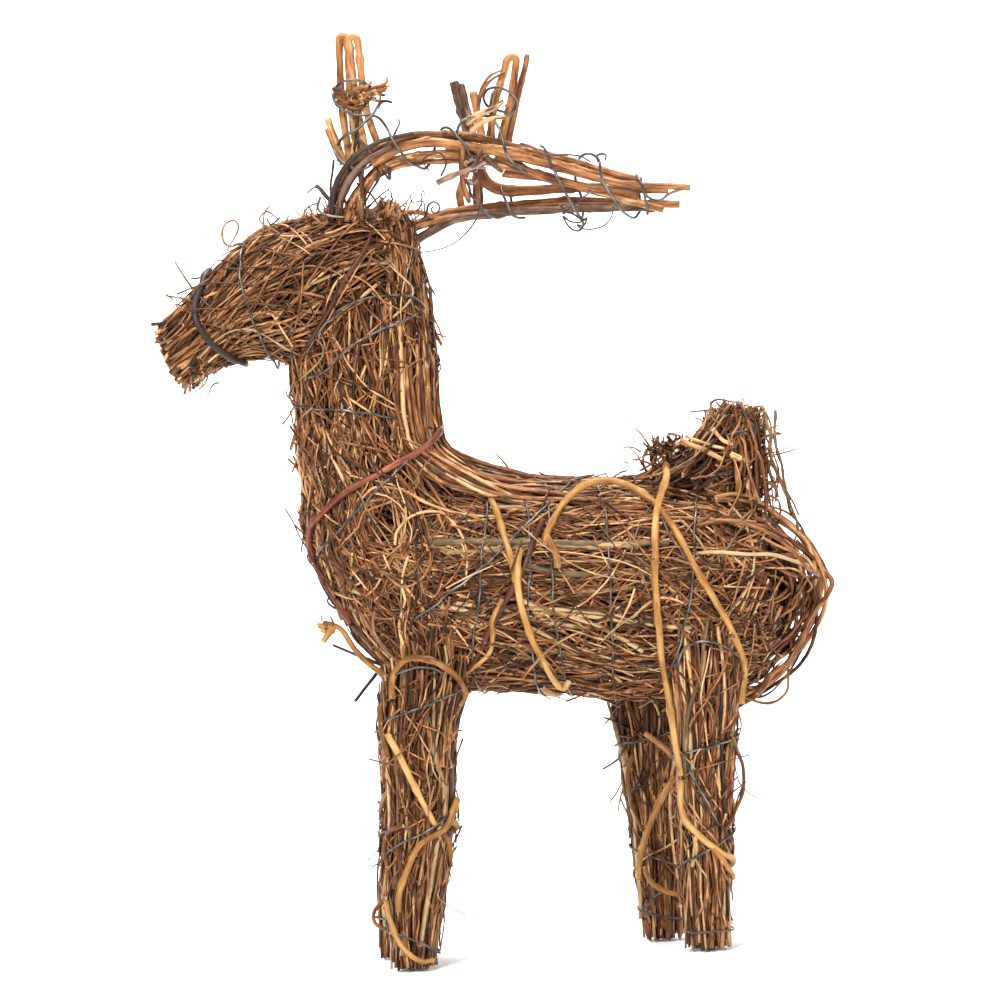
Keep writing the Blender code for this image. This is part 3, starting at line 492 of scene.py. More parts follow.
def ranged(tree, value, low, high, new_low, new_high):
    return add_node(tree, "ShaderNodeMapRange",
                    {"Value": value, "From Min": low, "From Max": high, "To Min": new_low,
                     "To Max": new_high}).outputs[0]


CANE_HUE = (0.95, 0.97)     # strands with a hue above this are peeled canes
CANE_STOPS = [(0.2, (0.075, 0.052, 0.024)), (0.9, (0.36, 0.26, 0.13))]
CUT_WOOD = ((0.36, 0.22, 0.12), (0.60, 0.43, 0.27))
PITH = (0.20, 0.11, 0.06)
SPECULAR_TINT = (1.0, 0.76, 0.58, 1.0)


def bark(name, stops, streak=0.30, patch=0.22, peel_colour=(0.52, 0.30, 0.15), peel_amount=0.25,
         grey=0.3, rough=(0.36, 0.72), ridge=0.35, across=1.6):
    """Bark or peeled vine: lengthwise streaks, patches, peeled strips, dots and pale cut ends."""
    material, tree, shader = new_material(name)
    grain = add_node(tree, "ShaderNodeAttribute", attribute_name="grain").outputs["Vector"]
    look = add_node(tree, "ShaderNodeAttribute", attribute_name="look").outputs["Vector"]
    cut = add_node(tree, "ShaderNodeAttribute", attribute_name="cut").outputs["Fac"]
    parts = add_node(tree, "ShaderNodeSeparateXYZ", {"Vector": look})
    tone, hue, worn = parts.outputs[0], parts.outputs[1], parts.outputs[2]
    streaks = noise(tree, grain, across, (0.10, 1.0, 1.0), 4.0, 0.65)
    patches = noise(tree, grain, 0.09, (1.0, 2.0, 2.0), 3.0)
    fine = noise(tree, grain, 5.0, (0.35, 1.0, 1.0), 3.0, 0.6)
    level = combine(tree, "ADD", tone, ranged(tree, streaks, 0.3, 0.7, -streak, streak))
    level = combine(tree, "ADD", level, ranged(tree, patches, 0.3, 0.7, -patch, patch))
    colour = ramp(tree, level, stops)
    greyed = blend_colours(tree, 1.0, colour, (0.80, 0.86, 0.92), "MULTIPLY")
    greyish = ranged(tree, combine(tree, "MULTIPLY", hue, hue), 0.25, 1.0, 0.0, grey)
    colour = blend_colours(tree, greyish, colour, greyed)
    cane = ranged(tree, hue, *CANE_HUE, 0.0, 0.75)
    colour = blend_colours(tree, cane, colour, ramp(tree, level, CANE_STOPS))
    flakes = noise(tree, grain, 0.5, (0.22, 1.3, 1.3), 5.0, 0.7)
    limit = ranged(tree, worn, 0.0, 1.0, 0.75, 0.40)
    peeled = ranged(tree, combine(tree, "SUBTRACT", flakes, limit), 0.0, 0.05, 0.0, 1.0)
    peeled = combine(tree, "MULTIPLY", peeled, peel_amount)
    colour = blend_colours(tree, peeled, colour, peel_colour)
    dotting = add_node(tree, "ShaderNodeMapping", {"Vector": grain, "Scale": (0.45, 0.9, 0.9)}).outputs[0]
    dots = add_node(tree, "ShaderNodeTexVoronoi", {"Vector": dotting, "Scale": 1.0}).outputs["Distance"]
    dotted = ranged(tree, dots, 0.10, 0.2, 0.35, 0.0)
    dot_colour = blend_colours(tree, 1.0, colour, (0.45, 0.42, 0.4), "MULTIPLY")
    colour = blend_colours(tree, dotted, colour, dot_colour)
    across_cut = add_node(tree, "ShaderNodeVectorMath",
                          {0: grain, 1: (0.0, 1.0, 1.0)}, operation="MULTIPLY").outputs[0]
    from_middle = add_node(tree, "ShaderNodeVectorMath", {0: across_cut}, operation="LENGTH")
    rings = combine(tree, "SINE", combine(tree, "MULTIPLY", from_middle.outputs[1], 16.0))
    rings = ranged(tree, rings, -1.0, 1.0, 0.0, 1.0)
    wood = blend_colours(tree, rings, *CUT_WOOD)
    pith = ranged(tree, from_middle.outputs[1], 0.08, 0.2, 1.0, 0.0)
    wood = blend_colours(tree, pith, wood, PITH)
    colour = blend_colours(tree, cut, colour, wood)
    tree.links.new(colour, shader.inputs["Base Color"])
    tree.links.new(ranged(tree, streaks, 0.3, 0.7, rough[1], rough[0]), shader.inputs["Roughness"])
    relief = combine(tree, "ADD", streaks, combine(tree, "MULTIPLY", fine, 0.45))
    relief = combine(tree, "ADD", relief, combine(tree, "MULTIPLY", peeled, -0.4))
    bump = add_node(tree, "ShaderNodeBump", {"Height": relief, "Strength": ridge, "Distance": 0.0004})
    tree.links.new(bump.outputs[0], shader.inputs["Normal"])
    shader.inputs["Specular IOR Level"].default_value = 0.36
    shader.inputs["Specular Tint"].default_value = SPECULAR_TINT
    return material


TWIG_STOPS = [(0.0, (0.010, 0.003, 0.001)), (0.25, (0.044, 0.012, 0.004)), (0.5, (0.128, 0.042, 0.013)),
              (0.75, (0.290, 0.122, 0.044)), (1.0, (0.520, 0.310, 0.150))]
VINE_STOPS = [(0.0, (0.026, 0.008, 0.003)), (0.25, (0.090, 0.030, 0.011)), (0.5, (0.215, 0.082, 0.028)),
              (0.75, (0.340, 0.155, 0.056)), (1.0, (0.500, 0.270, 0.115))]
BARK_STOPS = [(0.0, (0.012, 0.006, 0.004)), (0.3, (0.048, 0.024, 0.015)), (0.6, (0.110, 0.062, 0.040)),
              (1.0, (0.260, 0.165, 0.112))]
GOLD_STOPS = [(0.0, (0.070, 0.022, 0.005)), (0.3, (0.165, 0.066, 0.014)), (0.6, (0.285, 0.138, 0.036)),
              (1.0, (0.440, 0.262, 0.098))]
RED_STOPS = [(0.0, (0.012, 0.003, 0.002)), (0.4, (0.044, 0.009, 0.006)), (0.7, (0.115, 0.026, 0.013)),
             (1.0, (0.260, 0.090, 0.045))]
DARK_STOPS = [(0.0, (0.006, 0.004, 0.004)), (0.4, (0.020, 0.013, 0.014)), (0.7, (0.060, 0.034, 0.030)),
              (1.0, (0.240, 0.160, 0.130))]

twig_bark = bark("twig_bark", TWIG_STOPS)
antler_vine = bark("antler_vine", VINE_STOPS, streak=0.28, patch=0.22, peel_colour=(0.68, 0.42, 0.20),
                   peel_amount=0.5, grey=0.15, rough=(0.42, 0.75), ridge=0.3, across=1.1)
dark_bark = bark("dark_bark", BARK_STOPS, streak=0.35, patch=0.25, peel_colour=(0.40, 0.22, 0.12),
                 peel_amount=0.6, grey=0.5, rough=(0.7, 0.95), ridge=0.7, across=1.2)
golden_bark = bark("golden_bark", GOLD_STOPS, streak=0.22, patch=0.24, peel_colour=(0.30, 0.14, 0.06),
                   peel_amount=0.5, grey=0.1, rough=(0.38, 0.62), ridge=0.2, across=1.0)
red_bark = bark("red_bark", RED_STOPS, streak=0.2, patch=0.25, peel_colour=(0.45, 0.24, 0.13),
                peel_amount=0.3, grey=0.2, rough=(0.3, 0.6), ridge=0.2, across=1.0)
dark_vine_bark = bark("dark_vine_bark", DARK_STOPS, streak=0.25, patch=0.2,
                      peel_colour=(0.30, 0.18, 0.12), peel_amount=0.3, grey=0.6, rough=(0.35, 0.7),
                      ridge=0.3, across=1.0)


def wire_metal():
    """Annealed binding wire: dull grey, darker with oxide in patches."""
    material, tree, shader = new_material("binding_wire")
    grain = add_node(tree, "ShaderNodeAttribute", attribute_name="grain").outputs["Vector"]
    drawn = noise(tree, grain, 2.0, (0.15, 1.0, 1.0), 3.0)
    oxide = noise(tree, grain, 0.12, (1.0, 3.0, 3.0), 4.0, 0.7)
    colour = ramp(tree, oxide, [(0.35, (0.018, 0.014, 0.014)), (0.5, (0.06, 0.052, 0.046)),
                                (0.62, (0.17, 0.152, 0.135))])
    colour = blend_colours(tree, ranged(tree, drawn, 0.45, 0.7, 0.0, 0.3), colour, (0.34, 0.31, 0.275))
    tree.links.new(colour, shader.inputs["Base Color"])
    tree.links.new(ranged(tree, oxide, 0.35, 0.65, 0.62, 0.34), shader.inputs["Roughness"])
    shader.inputs["Metallic"].default_value = 0.85
    bump = add_node(tree, "ShaderNodeBump", {"Height": drawn, "Strength": 0.15, "Distance": 0.0001})
    tree.links.new(bump.outputs[0], shader.inputs["Normal"])
    return material


def coated_rod():
    """Pale grey-green coating on the frame rod, rubbed and a little rusty."""
    material, tree, shader = new_material("coated_rod")
    place = add_node(tree, "ShaderNodeTexCoord").outputs["Object"]
    cloudy = noise(tree, place, 90.0, detail=4.0)
    rubbed = noise(tree, place, 420.0, detail=5.0, roughness=0.7)
    colour = ramp(tree, cloudy, [(0.3, (0.30, 0.33, 0.28)), (0.6, (0.46, 0.49, 0.42)),
                                 (0.8, (0.56, 0.58, 0.50))])
    rust = ranged(tree, rubbed, 0.60, 0.68, 0.0, 0.8)
    colour = blend_colours(tree, rust, colour, (0.22, 0.09, 0.04))
    tree.links.new(colour, shader.inputs["Base Color"])
    tree.links.new(ranged(tree, rubbed, 0.3, 0.7, 0.4, 0.75), shader.inputs["Roughness"])
    bump = add_node(tree, "ShaderNodeBump", {"Height": rubbed, "Strength": 0.2, "Distance": 0.0002})
    tree.links.new(bump.outputs[0], shader.inputs["Normal"])
    return material


wire_finish = wire_metal()
rod_finish = coated_rod()
for node_name, cad_piece in nodes.items():
    if node_name.endswith(("_rod", "_hoop")):
        cad_piece.data.materials.clear()
        cad_piece.data.materials.append(rod_finish)


# Twigs. A layer is (depth from, depth to, thin, thick, how many times it covers the area, tone).

# Deeper layers have darker tones: partly painted shade in the depth of the mat, partly darker inner twigs.
WALL_LAYERS = [
    (6.5, 11.0, 0.7, 1.3, 1.5, 0.08),
    (3.4, 7.5, 0.5, 1.05, 1.5, 0.20),
    (1.7, 4.4, 0.42, 0.95, 1.2, 0.36),
    (0.5, 2.2, 0.36, 0.8, 0.7, 0.45),
    (-0.5, 0.8, 0.34, 0.66, 0.34, 0.50),
]


def lay(rng, body, count, keys, angles, slope, length, depth, thin, thick, points=13, wander=0.9,
        bow=5.0, splay=0.9, slant=0.0, ragged=(3.0, 3.0), ends=(-1.0, 1.0)):
    """Paths and radii of twigs laid along a body between stations and angles."""
    t = np.linspace(-0.5, 0.5, points)[None]
    span = rng.uniform(*length, (count, 1))
    lean = np.radians(rng.normal(slant, slope, (count, 1)))
    low = keys[0] + rng.exponential(ragged[0], (count, 1))
    high = keys[1] - rng.exponential(ragged[1], (count, 1))
    middle = rng.uniform(keys[0], keys[1], (count, 1))
    half = 0.5 * span * np.cos(lean)
    middle = np.where(high - low > 2 * half, np.clip(middle, low + half, np.maximum(high - half, low)),
                      0.5 * (low + high))
    half = np.minimum(half, 0.5 * np.abs(high - low))
    key = middle + 2 * half * t
    _, _, high_side, wide_side = body.at(middle)
    radius = 0.5 * (high_side + wide_side)
    across = span * np.sin(lean) * t + rng.normal(0, bow, (count, 1)) * (1 - 4 * t ** 2)
    across += wander * waves(rng, count, points, 1.2) + kinks(rng, count, points, 1.6)
    angle = rng.uniform(*angles, (count, 1)) + np.degrees(across / radius)
    level = rng.uniform(*depth, (count, 1)) + 0.5 * wander * waves(rng, count, points, 1.6)
    end = rng.choice(ends, (count, 1))
    level -= rng.exponential(splay, (count, 1)) * np.clip(2 * t * end, 0, 1) ** 3
    paths = body.point(key, angle, -level)
    thickness = thin + (thick - thin) * rng.beta(1.5, 2.6, (count, 1))
    taper = 1.0 + rng.uniform(-0.22, 0.22, (count, 1)) * 2 * t
    swell = 1.0 + 0.14 * np.maximum(0.0, rng.normal(0, 1, (count, points)))
    return paths, thickness * taper * swell


def patch_area(body, keys, angles):
    """The area of a patch of a body, in square millimetres."""
    stations = np.linspace(*keys, 12)
    _, _, high, wide = body.at(stations)
    return (keys[1] - keys[0]) * np.pi * (high + wide).mean() * abs(angles[1] - angles[0]) / 360.0


def thatch(bundle, body, keys, angles, slope=10.0, length=(45.0, 95.0), layers=WALL_LAYERS,
           spur_share=0.10, floor=None, **shape):
    """Covers a patch of a body with layers of twigs."""
    rng = bundle.rng
    area = patch_area(body, keys, angles)
    for level, (near, far, thin, thick, cover, tone) in enumerate(layers):
        width = 2 * (thin + 0.37 * (thick - thin))
        count = int(cover * area / (width * 0.5 * (length[0] + length[1])))
        paths, radii = lay(rng, body, count, keys, angles, slope, length, (near, far), thin, thick,
                           **shape)
        if floor is not None:
            paths[..., 2] = np.maximum(paths[..., 2], floor + rng.uniform(0, 0.8, (count, 1)))
        # The layer's tone, darker the deeper it lies, paints shade into the mat.
        bundle.add(paths, radii, tone)
        if level >= 2:
            bundle.spurs(paths, radii, spur_share)


def hairs(bundle, body, keys, angles, count, length=(25.0, 60.0), slope=26.0, lift=(-0.9, 1.1),
          width=(0.26, 0.48), tone=0.44, bow=12.0, splay=1.6):
    """Fine loose shoots that run across the rest. The lift is how far they stand off the body."""
    paths, radii = lay(bundle.rng, body, count, keys, angles, slope, length, (-lift[1], -lift[0]),
                       *width, points=18, wander=1.2, bow=bow, splay=splay)
    bundle.add(paths, radii, tone)


def canes(bundle, body, keys, angles, count):
    """Pale peeled canes between the twigs."""
    paths, radii = lay(bundle.rng, body, count, keys, angles, 5.0, (50.0, 100.0), (-0.2, 0.9), 0.8, 1.35,
                       bow=3.0, splay=0.3)
    bundle.add(paths, radii, 0.62, sides=7, hue=1.0)


# Pale canes in the left flank: (points as x, z), radius

PALE_CANES = [
    ([(-26.9, 168.0), (9.0, 165.8), (40.8, 162.8), (66.8, 161.4)], 1.5),
    ([(-20.0, 163.5), (-2.0, 163.0), (14.0, 160.0)], 0.9),
    ([(7.4, 143.0), (23.0, 136.4), (38.6, 130.1), (53.9, 119.8)], 1.2),
    ([(10.7, 140.0), (24.2, 138.2), (40.8, 135.4), (52.1, 131.6)], 0.9),
    ([(10.7, 132.0), (22.2, 125.2), (33.8, 118.4), (45.1, 107.6)], 0.8),
    ([(-13.0, 134.0), (2.0, 137.0), (15.0, 142.0)], 0.8),
]

# Twigs that loop over the left shoulder and haunch: points as x, z

SHOULDER_ARCS = [
    [(-72.0, 157.0), (-69.3, 152.7), (-57.6, 147.9), (-49.4, 151.3), (-43.5, 160.6), (-39.2, 167.0)],
    [(-40.0, 168.0), (-38.6, 173.4), (-32.2, 179.0), (-22.1, 179.5), (-14.7, 171.8), (-12.2, 161.6),
     (-14.0, 150.0)],
    [(-50.0, 163.0), (-45.7, 157.9), (-38.1, 151.4), (-29.8, 154.8), (-26.5, 162.6), (-28.8, 170.8)],
    [(-52.0, 187.0), (-46.0, 191.0), (-36.0, 189.0), (-26.0, 183.0), (-12.0, 178.0), (4.0, 176.0)],
    [(70.0, 176.0), (77.6, 173.5), (84.1, 167.9), (88.6, 157.9), (86.7, 147.7), (76.7, 142.7)],
    [(92.0, 176.0), (98.0, 166.0), (100.0, 152.0), (94.0, 138.0), (84.0, 130.0)],
    [(50.0, 133.0), (60.0, 140.0), (70.0, 138.0), (78.0, 128.0), (80.0, 116.0)],
]
ARC_RADIUS = 0.62

# The bit of frame rod that shows in the shoulder gap: points as x, z

ROD_CURVE = [(-52.5, 189.0), (-51.4, 184.0), (-50.0, 177.5), (-48.0, 171.0), (-45.0, 165.0)]
ROD_RADIUS = 1.5
ROD_DEPTH = 3.2


def make_barrel():
    """The mats along the back, the flanks and the belly, and the rod in the shoulder gap."""
    back = Bundle("back_mat_twigs", 101)
    thatch(back, barrel, (-52, 104), (-48, 48), 9.0, (50.0, 115.0))
    hairs(back, barrel, (-40, 100), (-48, 48), 90)
    back.build(twig_bark, ["back_mat"])

    for name, seed, low, high in (("left_flank", 102, 42, 131), ("right_flank", 103, -131, -42)):
        flank = Bundle(name + "_mat_twigs", seed)
        thatch(flank, barrel, (-58, 106), (low, high), 12.0, (50.0, 115.0), layers=WALL_LAYERS[:2])
        thatch(flank, barrel, (-58, -4), (low, high), 26.0, (35.0, 75.0), layers=WALL_LAYERS[2:], bow=7.0)
        thatch(flank, barrel, (-30, 78), (low, high), 9.0, (55.0, 125.0), layers=WALL_LAYERS[2:],
               bow=8.0)
        thatch(flank, barrel, (58, 106), (low, high), 34.0, (30.0, 70.0), layers=WALL_LAYERS[2:], bow=9.0)
        hairs(flank, barrel, (-50, 104), (low, high), 230, (35.0, 105.0))
        hairs(flank, barrel, (50, 106), (low, high), 40, (30.0, 70.0), slope=50.0, bow=18.0)
        hairs(flank, barrel, (-58, -20), (low, high), 40, (30.0, 70.0), slope=50.0, bow=18.0)
        if name == "left_flank":
            for points, radius in PALE_CANES:
                path = resample(face([barrel], points, 0.5), 1.2)
                flank.add(path, radius * np.linspace(1.05, 0.8, len(path)), 0.62, sides=8, hue=1.0)
            for points in SHOULDER_ARCS:
                path = resample(face([barrel, chest, neck], points, 0.9), 1.0)
                flank.add(path, ARC_RADIUS * np.linspace(1.0, 0.7, len(path)), 0.7, sides=7)
        canes(flank, barrel, (-30, 80), (low, high), 6)
        flank.build(twig_bark, [name + "_mat"])
    curve = Bundle("shoulder_frame_curve", 105)
    path = resample(face([barrel, chest, neck], ROD_CURVE, -ROD_DEPTH), 1.0)
    curve.add(path, ROD_RADIUS, 0.5, sides=10)
    curve.build(rod_finish)

    belly = Bundle("belly_mat_twigs", 104)
    thatch(belly, barrel, (-54, 104), (125, 235), 10.0, (50.0, 110.0))
    hairs(belly, barrel, (-45, 100), (125, 235), 110)
    belly.build(twig_bark, ["belly_mat"])


def make_chest():
    """The round of the chest, and the twigs that run from the throat into it."""
    bundle = Bundle("chest_mat_twigs", 105)
    thatch(bundle, barrel, (-76, -44), (0, 360), 25.0, (25.0, 50.0),
           layers=[(3.0, 9.0, 0.8, 1.4, 2.0, 0.32)])
    thatch(bundle, chest, (110, 218), (-100, 100), 15.0, (45.0, 100.0), layers=WALL_LAYERS[1:],
           bow=7.0)
    hairs(bundle, chest, (112, 210), (-110, 110), 180, (26.0, 70.0))
    bundle.build(twig_bark, ["chest_mat"])


SWEEP_COUNT = 330           # twigs from the nape on to the back

# Loose ends of vines at the chest: (points, radius, tone)

CHEST_ENDS = {
    "chest_vine_stub": [
        ([(-46.6, -22.0, 115.5), (-54.2, -16.0, 121.6), (-59.4, -12.0, 127.5), (-63.7, -10.0, 135.0),
          (-67.5, -9.0, 137.7), (-71.4, -9.0, 138.8)], 1.3, 0.3),
        ([(-66.5, -9.0, 138.0), (-69.3, -9.5, 134.6), (-71.9, -10.0, 131.2)], 1.6, 0.75),
    ],
    "chest_dark_ends": [
        ([(-47.2, -12.0, 121.0), (-51.3, -12.0, 117.4), (-60.8, -12.0, 106.8)], 0.8, 0.2),
        ([(-48.0, -11.0, 120.0), (-60.0, -10.0, 125.6), (-68.1, -9.5, 129.7)], 0.7, 0.3),
        ([(-76.3, -8.0, 190.9), (-74.0, -8.0, 184.0), (-71.9, -10.0, 178.9)], 0.6, 0.2),
        ([(-66.0, -9.0, 144.0), (-69.0, -9.5, 147.0), (-67.0, -9.5, 150.5), (-63.0, -9.0, 150.0)],
         0.45, 0.4),
    ],
}


def make_chest_ends():
    """The stub of golden vine and the dark ends that stick out in front of the leg."""
    for seed, (name, ends) in enumerate(CHEST_ENDS.items()):
        bundle = Bundle(name, 190 + seed)
        for points, radius, tone in ends:
            strand(bundle, points, radius, tone, (1.0, 0.8), sides=8, wobble=0.15)
        if name == "chest_vine_stub":
            splinters(bundle, (-70.5, -9.0, 137.0), (-2.0, -1.0, 2.0), 14, (1.4, 1.0, 2.0), (0.4, 0.8), 0.7)
            bundle.build(golden_bark)
        else:
            bundle.build(dark_vine_bark)


def make_neck():
    """The throat and nape, and the twigs that sweep from the nape on to the back."""
    throat = Bundle("neck_throat_twigs", 106)
    thatch(throat, neck, (178, 268), (-92, 92), 9.0, (45.0, 90.0), bow=4.0)
    hairs(throat, neck, (185, 262), (-92, 92), 110, slope=28.0)
    throat.build(twig_bark, ["neck_throat_bundle"])

    nape = Bundle("neck_nape_twigs", 107)
    thatch(nape, neck, (172, 303), (80, 280), 9.0, (50.0, 105.0), bow=4.0)
    hairs(nape, neck, (185, 300), (80, 280), 150, slope=28.0)
    splinters(nape, (-38.0, -4.0, 297.0), (5.0, -3.0, 7.0), 60, (6.0, 6.0, 2.0), (0.32, 0.6), 0.4,
              (4.0, 4.0, 3.0), 0.08)
    rng = nape.rng
    count = SWEEP_COUNT
    angle = rng.uniform(118, 242, count)
    tone = 0.42 + 0.15 * rng.uniform(0, 1, count).mean()
    depth = -rng.uniform(-0.6, 6.0, count)
    start = neck.point(rng.uniform(212, 258, count), angle, depth)
    bend = neck.point(rng.uniform(199, 209, count), angle, depth + 1.5)
    spread = np.degrees(np.sin(np.radians(angle))) * 0.75
    reach = rng.uniform(-6, 8, count)
    turn = barrel.point(reach, spread, depth + rng.uniform(1.0, 5.0, count))
    end = barrel.point(reach + rng.uniform(16, 46, count), spread * 0.9 + rng.normal(0, 8, count), depth)
    rows = np.stack([start, bend, turn, end])
    paths = smooth(rows, 5).transpose(1, 0, 2)
    points = paths.shape[1]
    for axis in range(3):
        paths[..., axis] += 0.6 * waves(rng, count, points, 1.5)
    radii = (0.45 + 0.75 * rng.beta(1.5, 2.6, (count, 1))) * np.ones((1, points))
    nape.add(paths, radii, tone)
    nape.spurs(paths, radii, 0.1)
    nape.build(twig_bark, ["neck_nape_bundle"])


# Twigs that stray from the head: points, radius

HEAD_STRAYS = [
    ([(-90.0, -10, 288.4), (-93.5, -10, 291.5), (-97.6, -9.5, 290.5), (-100.3, -9, 292.3),
      (-100.8, -8.5, 296.4), (-99.0, -8, 299.8), (-95.7, -8, 300.8), (-94.3, -8.5, 297.9),
      (-96.2, -9, 294.0), (-99.6, -9.5, 289.0)], 0.5),
    ([(-111.0, -8, 270.0), (-113.3, -6, 273.4), (-118.0, -6, 281.0), (-120.7, -7, 286.5)], 0.5),
    ([(-112.0, -10, 268.6), (-118.0, -10, 271.0), (-124.9, -10, 272.7)], 0.55),
    ([(-86.0, -9, 286.0), (-84.6, -9, 296.0), (-83.6, -8, 303.0), (-81.0, -8, 306.0)], 0.5),
    ([(-80.0, -9, 290.0), (-83.0, -9, 297.0), (-86.0, -8, 300.4), (-82.6, -8, 303.6), (-78.0, -8, 300.0)],
     0.45),
    ([(-70.0, -9, 297.0), (-66.6, -9, 303.6), (-61.0, -8, 306.0)], 0.45),
]


def make_head():
    """The upper and lower half of the head, with frayed ends at the crown and the muzzle."""
    for name, seed, halves in (("brow", 108, ((-92, 0, 22.0), (0, 92, -22.0))),
                               ("jaw", 109, ((88, 180, -14.0), (180, 272, 14.0)))):
        bundle = Bundle("head_" + name + "_twigs", seed)
        for low, high, slant in halves:
            thatch(bundle, head, (-127, -34), (low, high), 10.0, (38.0, 85.0), slant=slant)
            # The deeper layer has the darker tone: partly painted shade inside the bundle, partly darker
            # inner twigs.
            thatch(bundle, head, (-128, -86), (low, high), 4.0, (26.0, 42.0), ragged=(3.2, 4.0),
                   splay=1.6, ends=(-1.0,), bow=2.0,
                   layers=[(7.0, 12.0, 0.6, 1.1, 2.2, 0.40), (1.6, 7.0, 0.5, 1.0, 1.8, 0.50)])
            hairs(bundle, head, (-116, -34), (low, high), 34, slope=24.0)
        if name == "jaw":
            splinters(bundle, (-113.0, -7.0, 241.0), (-2.0, -2.0, -6.0), 18, (4.0, 4.0, 2.0),
                      (0.34, 0.6), 0.4, (2.0, 3.0, 2.0), 0.08)
        if name == "brow":
            splinters(bundle, (-56.0, -6.0, 297.0), (-3.0, -4.0, 9.0), 60, (7.0, 7.0, 1.6), (0.32, 0.6),
                      0.4, (3.0, 4.0, 2.0), 0.08)
            splinters(bundle, (-112.0, -9.0, 266.0), (-8.0, -2.0, 6.0), 14, (4.0, 3.0, 3.0), (0.32, 0.5),
                      0.4, (3.0, 3.0, 3.0), 0.08)
            for points, radius in HEAD_STRAYS:
                strand(bundle, points, radius, 0.5, (1.0, 0.7), sides=7, wobble=0.1)
        bundle.build(twig_bark, ["head_" + name + "_bundle"])


# Deeper leg layers have darker tones: partly painted shade inside the bundle, partly darker inner twigs.
LEG_LAYERS = [
    (7.0, 13.0, 0.8, 1.4, 2.0, 0.10),
    (3.4, 8.0, 0.6, 1.2, 2.0, 0.24),
    (1.7, 4.6, 0.45, 1.0, 1.5, 0.40),
    (0.5, 2.4, 0.38, 0.85, 0.7, 0.50),
    (-0.3, 1.0, 0.34, 0.66, 0.3, 0.54),
]


def make_legs():
    """Straight bundles, with ragged ends that rest on the ground."""
    for seed, (name, body) in enumerate(legs.items()):
        bundle = Bundle(name + "_leg_twigs", 110 + seed)
        thatch(bundle, body, (0.6, 140), (0, 360), 3.6, (60.0, 130.0), spur_share=0.08, bow=2.0,
               splay=0.7, ragged=(2.2, 9.0), floor=0.5, layers=LEG_LAYERS)
        hairs(bundle, body, (6, 122), (0, 360), 70, (20.0, 60.0), 20.0, bow=4.0)
        hairs(bundle, body, (40, 122), (0, 360), 30, (16.0, 40.0), 60.0, bow=7.0, splay=3.0)
        canes(bundle, body, (10, 135), (0, 360), 4)
        bundle.build(twig_bark, [name + "_leg_bundle"])


RUMP_MIDDLE = (78.0, 0.0, 141.0)
RUMP_HALF_WIDTH = 35.0
RUMP_HALF_HEIGHT = 42.5
RUMP_POINTS = 26
# Bent twigs: count, size as a share of the rump, reach backwards, thin, thick, tone
# The smaller arcs lie deeper and have darker tones: partly painted shade inside the nest, partly darker
# inner twigs.
RUMP_ARCS = [
    (46, (0.45, 0.85), (24, 40), 0.4, 1.0, 0.26),
    (44, (0.72, 1.0), (34, 48), 0.36, 0.85, 0.40),
    (8, (0.9, 1.02), (46, 52), 0.8, 1.1, 0.44),
]


def rump_arc(rng, count, size, reach):
    """Twigs bent round the rump, each in its own plane through the barrel's axis."""
    points = RUMP_POINTS
    theta = np.linspace(-1.0, 1.0, points)[None] * np.radians(rng.uniform(70, 112, (count, 1)))
    theta = theta + np.radians(rng.normal(0, 14, (count, 1)))
    plane = rng.uniform(-70, 70, (count, 1))
    scale = rng.uniform(*size, (count, 1))
    out = rng.uniform(*reach, (count, 1)) * np.cos(theta)
    lateral = scale * np.sin(theta)
    direction = np.radians(plane) + 0.18 * waves(rng, count, points, 0.8)
    x = RUMP_MIDDLE[0] + out
    y = -(RUMP_HALF_WIDTH * lateral) * np.sin(direction) + rng.normal(0, 5.5, (count, 1)) * np.cos(theta)
    z = RUMP_MIDDLE[2] + (RUMP_HALF_HEIGHT * lateral) * np.cos(direction) + rng.normal(0, 3.0, (count, 1))
    wobble = [1.1 * waves(rng, count, points, 1.8) for _ in range(3)]
    return np.stack([x + wobble[0], y + wobble[1], z + wobble[2]], axis=-1)


# Thin loops outside the rump: points. Then its stout canes: points, radius

RUMP_LOOPS = [
    [(104.0, -14, 172.0), (112.0, -10, 172.0), (120.0, -4, 166.0), (123.4, 0, 156.0), (118.0, 4, 148.0)],
    [(100.0, -18, 168.0), (112.0, -12, 160.0), (122.0, -6, 150.0), (127.0, 0, 138.0), (120.0, 6, 126.0)],
    [(108.0, -14, 178.0), (113.0, -10, 174.0), (112.0, -6, 166.0), (105.0, -12, 162.0)],
    [(112.0, -12, 132.0), (120.0, -6, 140.0), (126.0, 0, 150.0), (121.0, 4, 160.0), (110.0, 8, 168.0)],
    [(100.0, -18, 112.0), (108.0, -14, 118.0), (118.0, -8, 126.0), (124.0, -2, 138.0), (122.0, 2, 150.0)],
    [(96.0, -18, 104.0), (104.0, -16, 104.0), (112.0, -10, 112.0), (114.0, -6, 124.0), (108.0, -8, 132.0)],
    [(118.0, -4, 120.0), (110.0, -10, 126.0), (106.0, -14, 138.0), (110.0, -12, 150.0), (118.0, -6, 156.0)],
    [(92.0, 10, 98.0), (102.0, 6, 97.0), (110.0, 0, 103.0), (117.0, -4, 113.0), (120.0, -2, 124.0)],
]
RUMP_CANES = [
    ([(121.0, 2, 162.6), (126.4, 0, 154.2), (131.3, -2, 143.4)], 0.9),
    ([(118.4, -6, 158.4), (128.7, -3, 146.0), (132.0, -3, 141.8), (130.5, -4, 137.1),
      (124.8, -6, 130.2), (118.0, -9, 118.7), (110.5, -12, 109.2)], 1.2),
    ([(92.4, -20, 96.4), (98.7, -18, 99.9), (105.2, -14, 106.7), (111.4, -10, 110.3),
      (121.0, -6, 120.0)], 1.5),
    ([(92.0, 14, 99.4), (104.7, 8, 101.9), (115.2, 2, 112.7), (124.4, 0, 126.3)], 1.1),
    ([(88.0, -24, 101.0), (101.0, -20, 95.5), (110.0, -14, 99.0), (112.0, -10, 108.0)], 0.7),
]


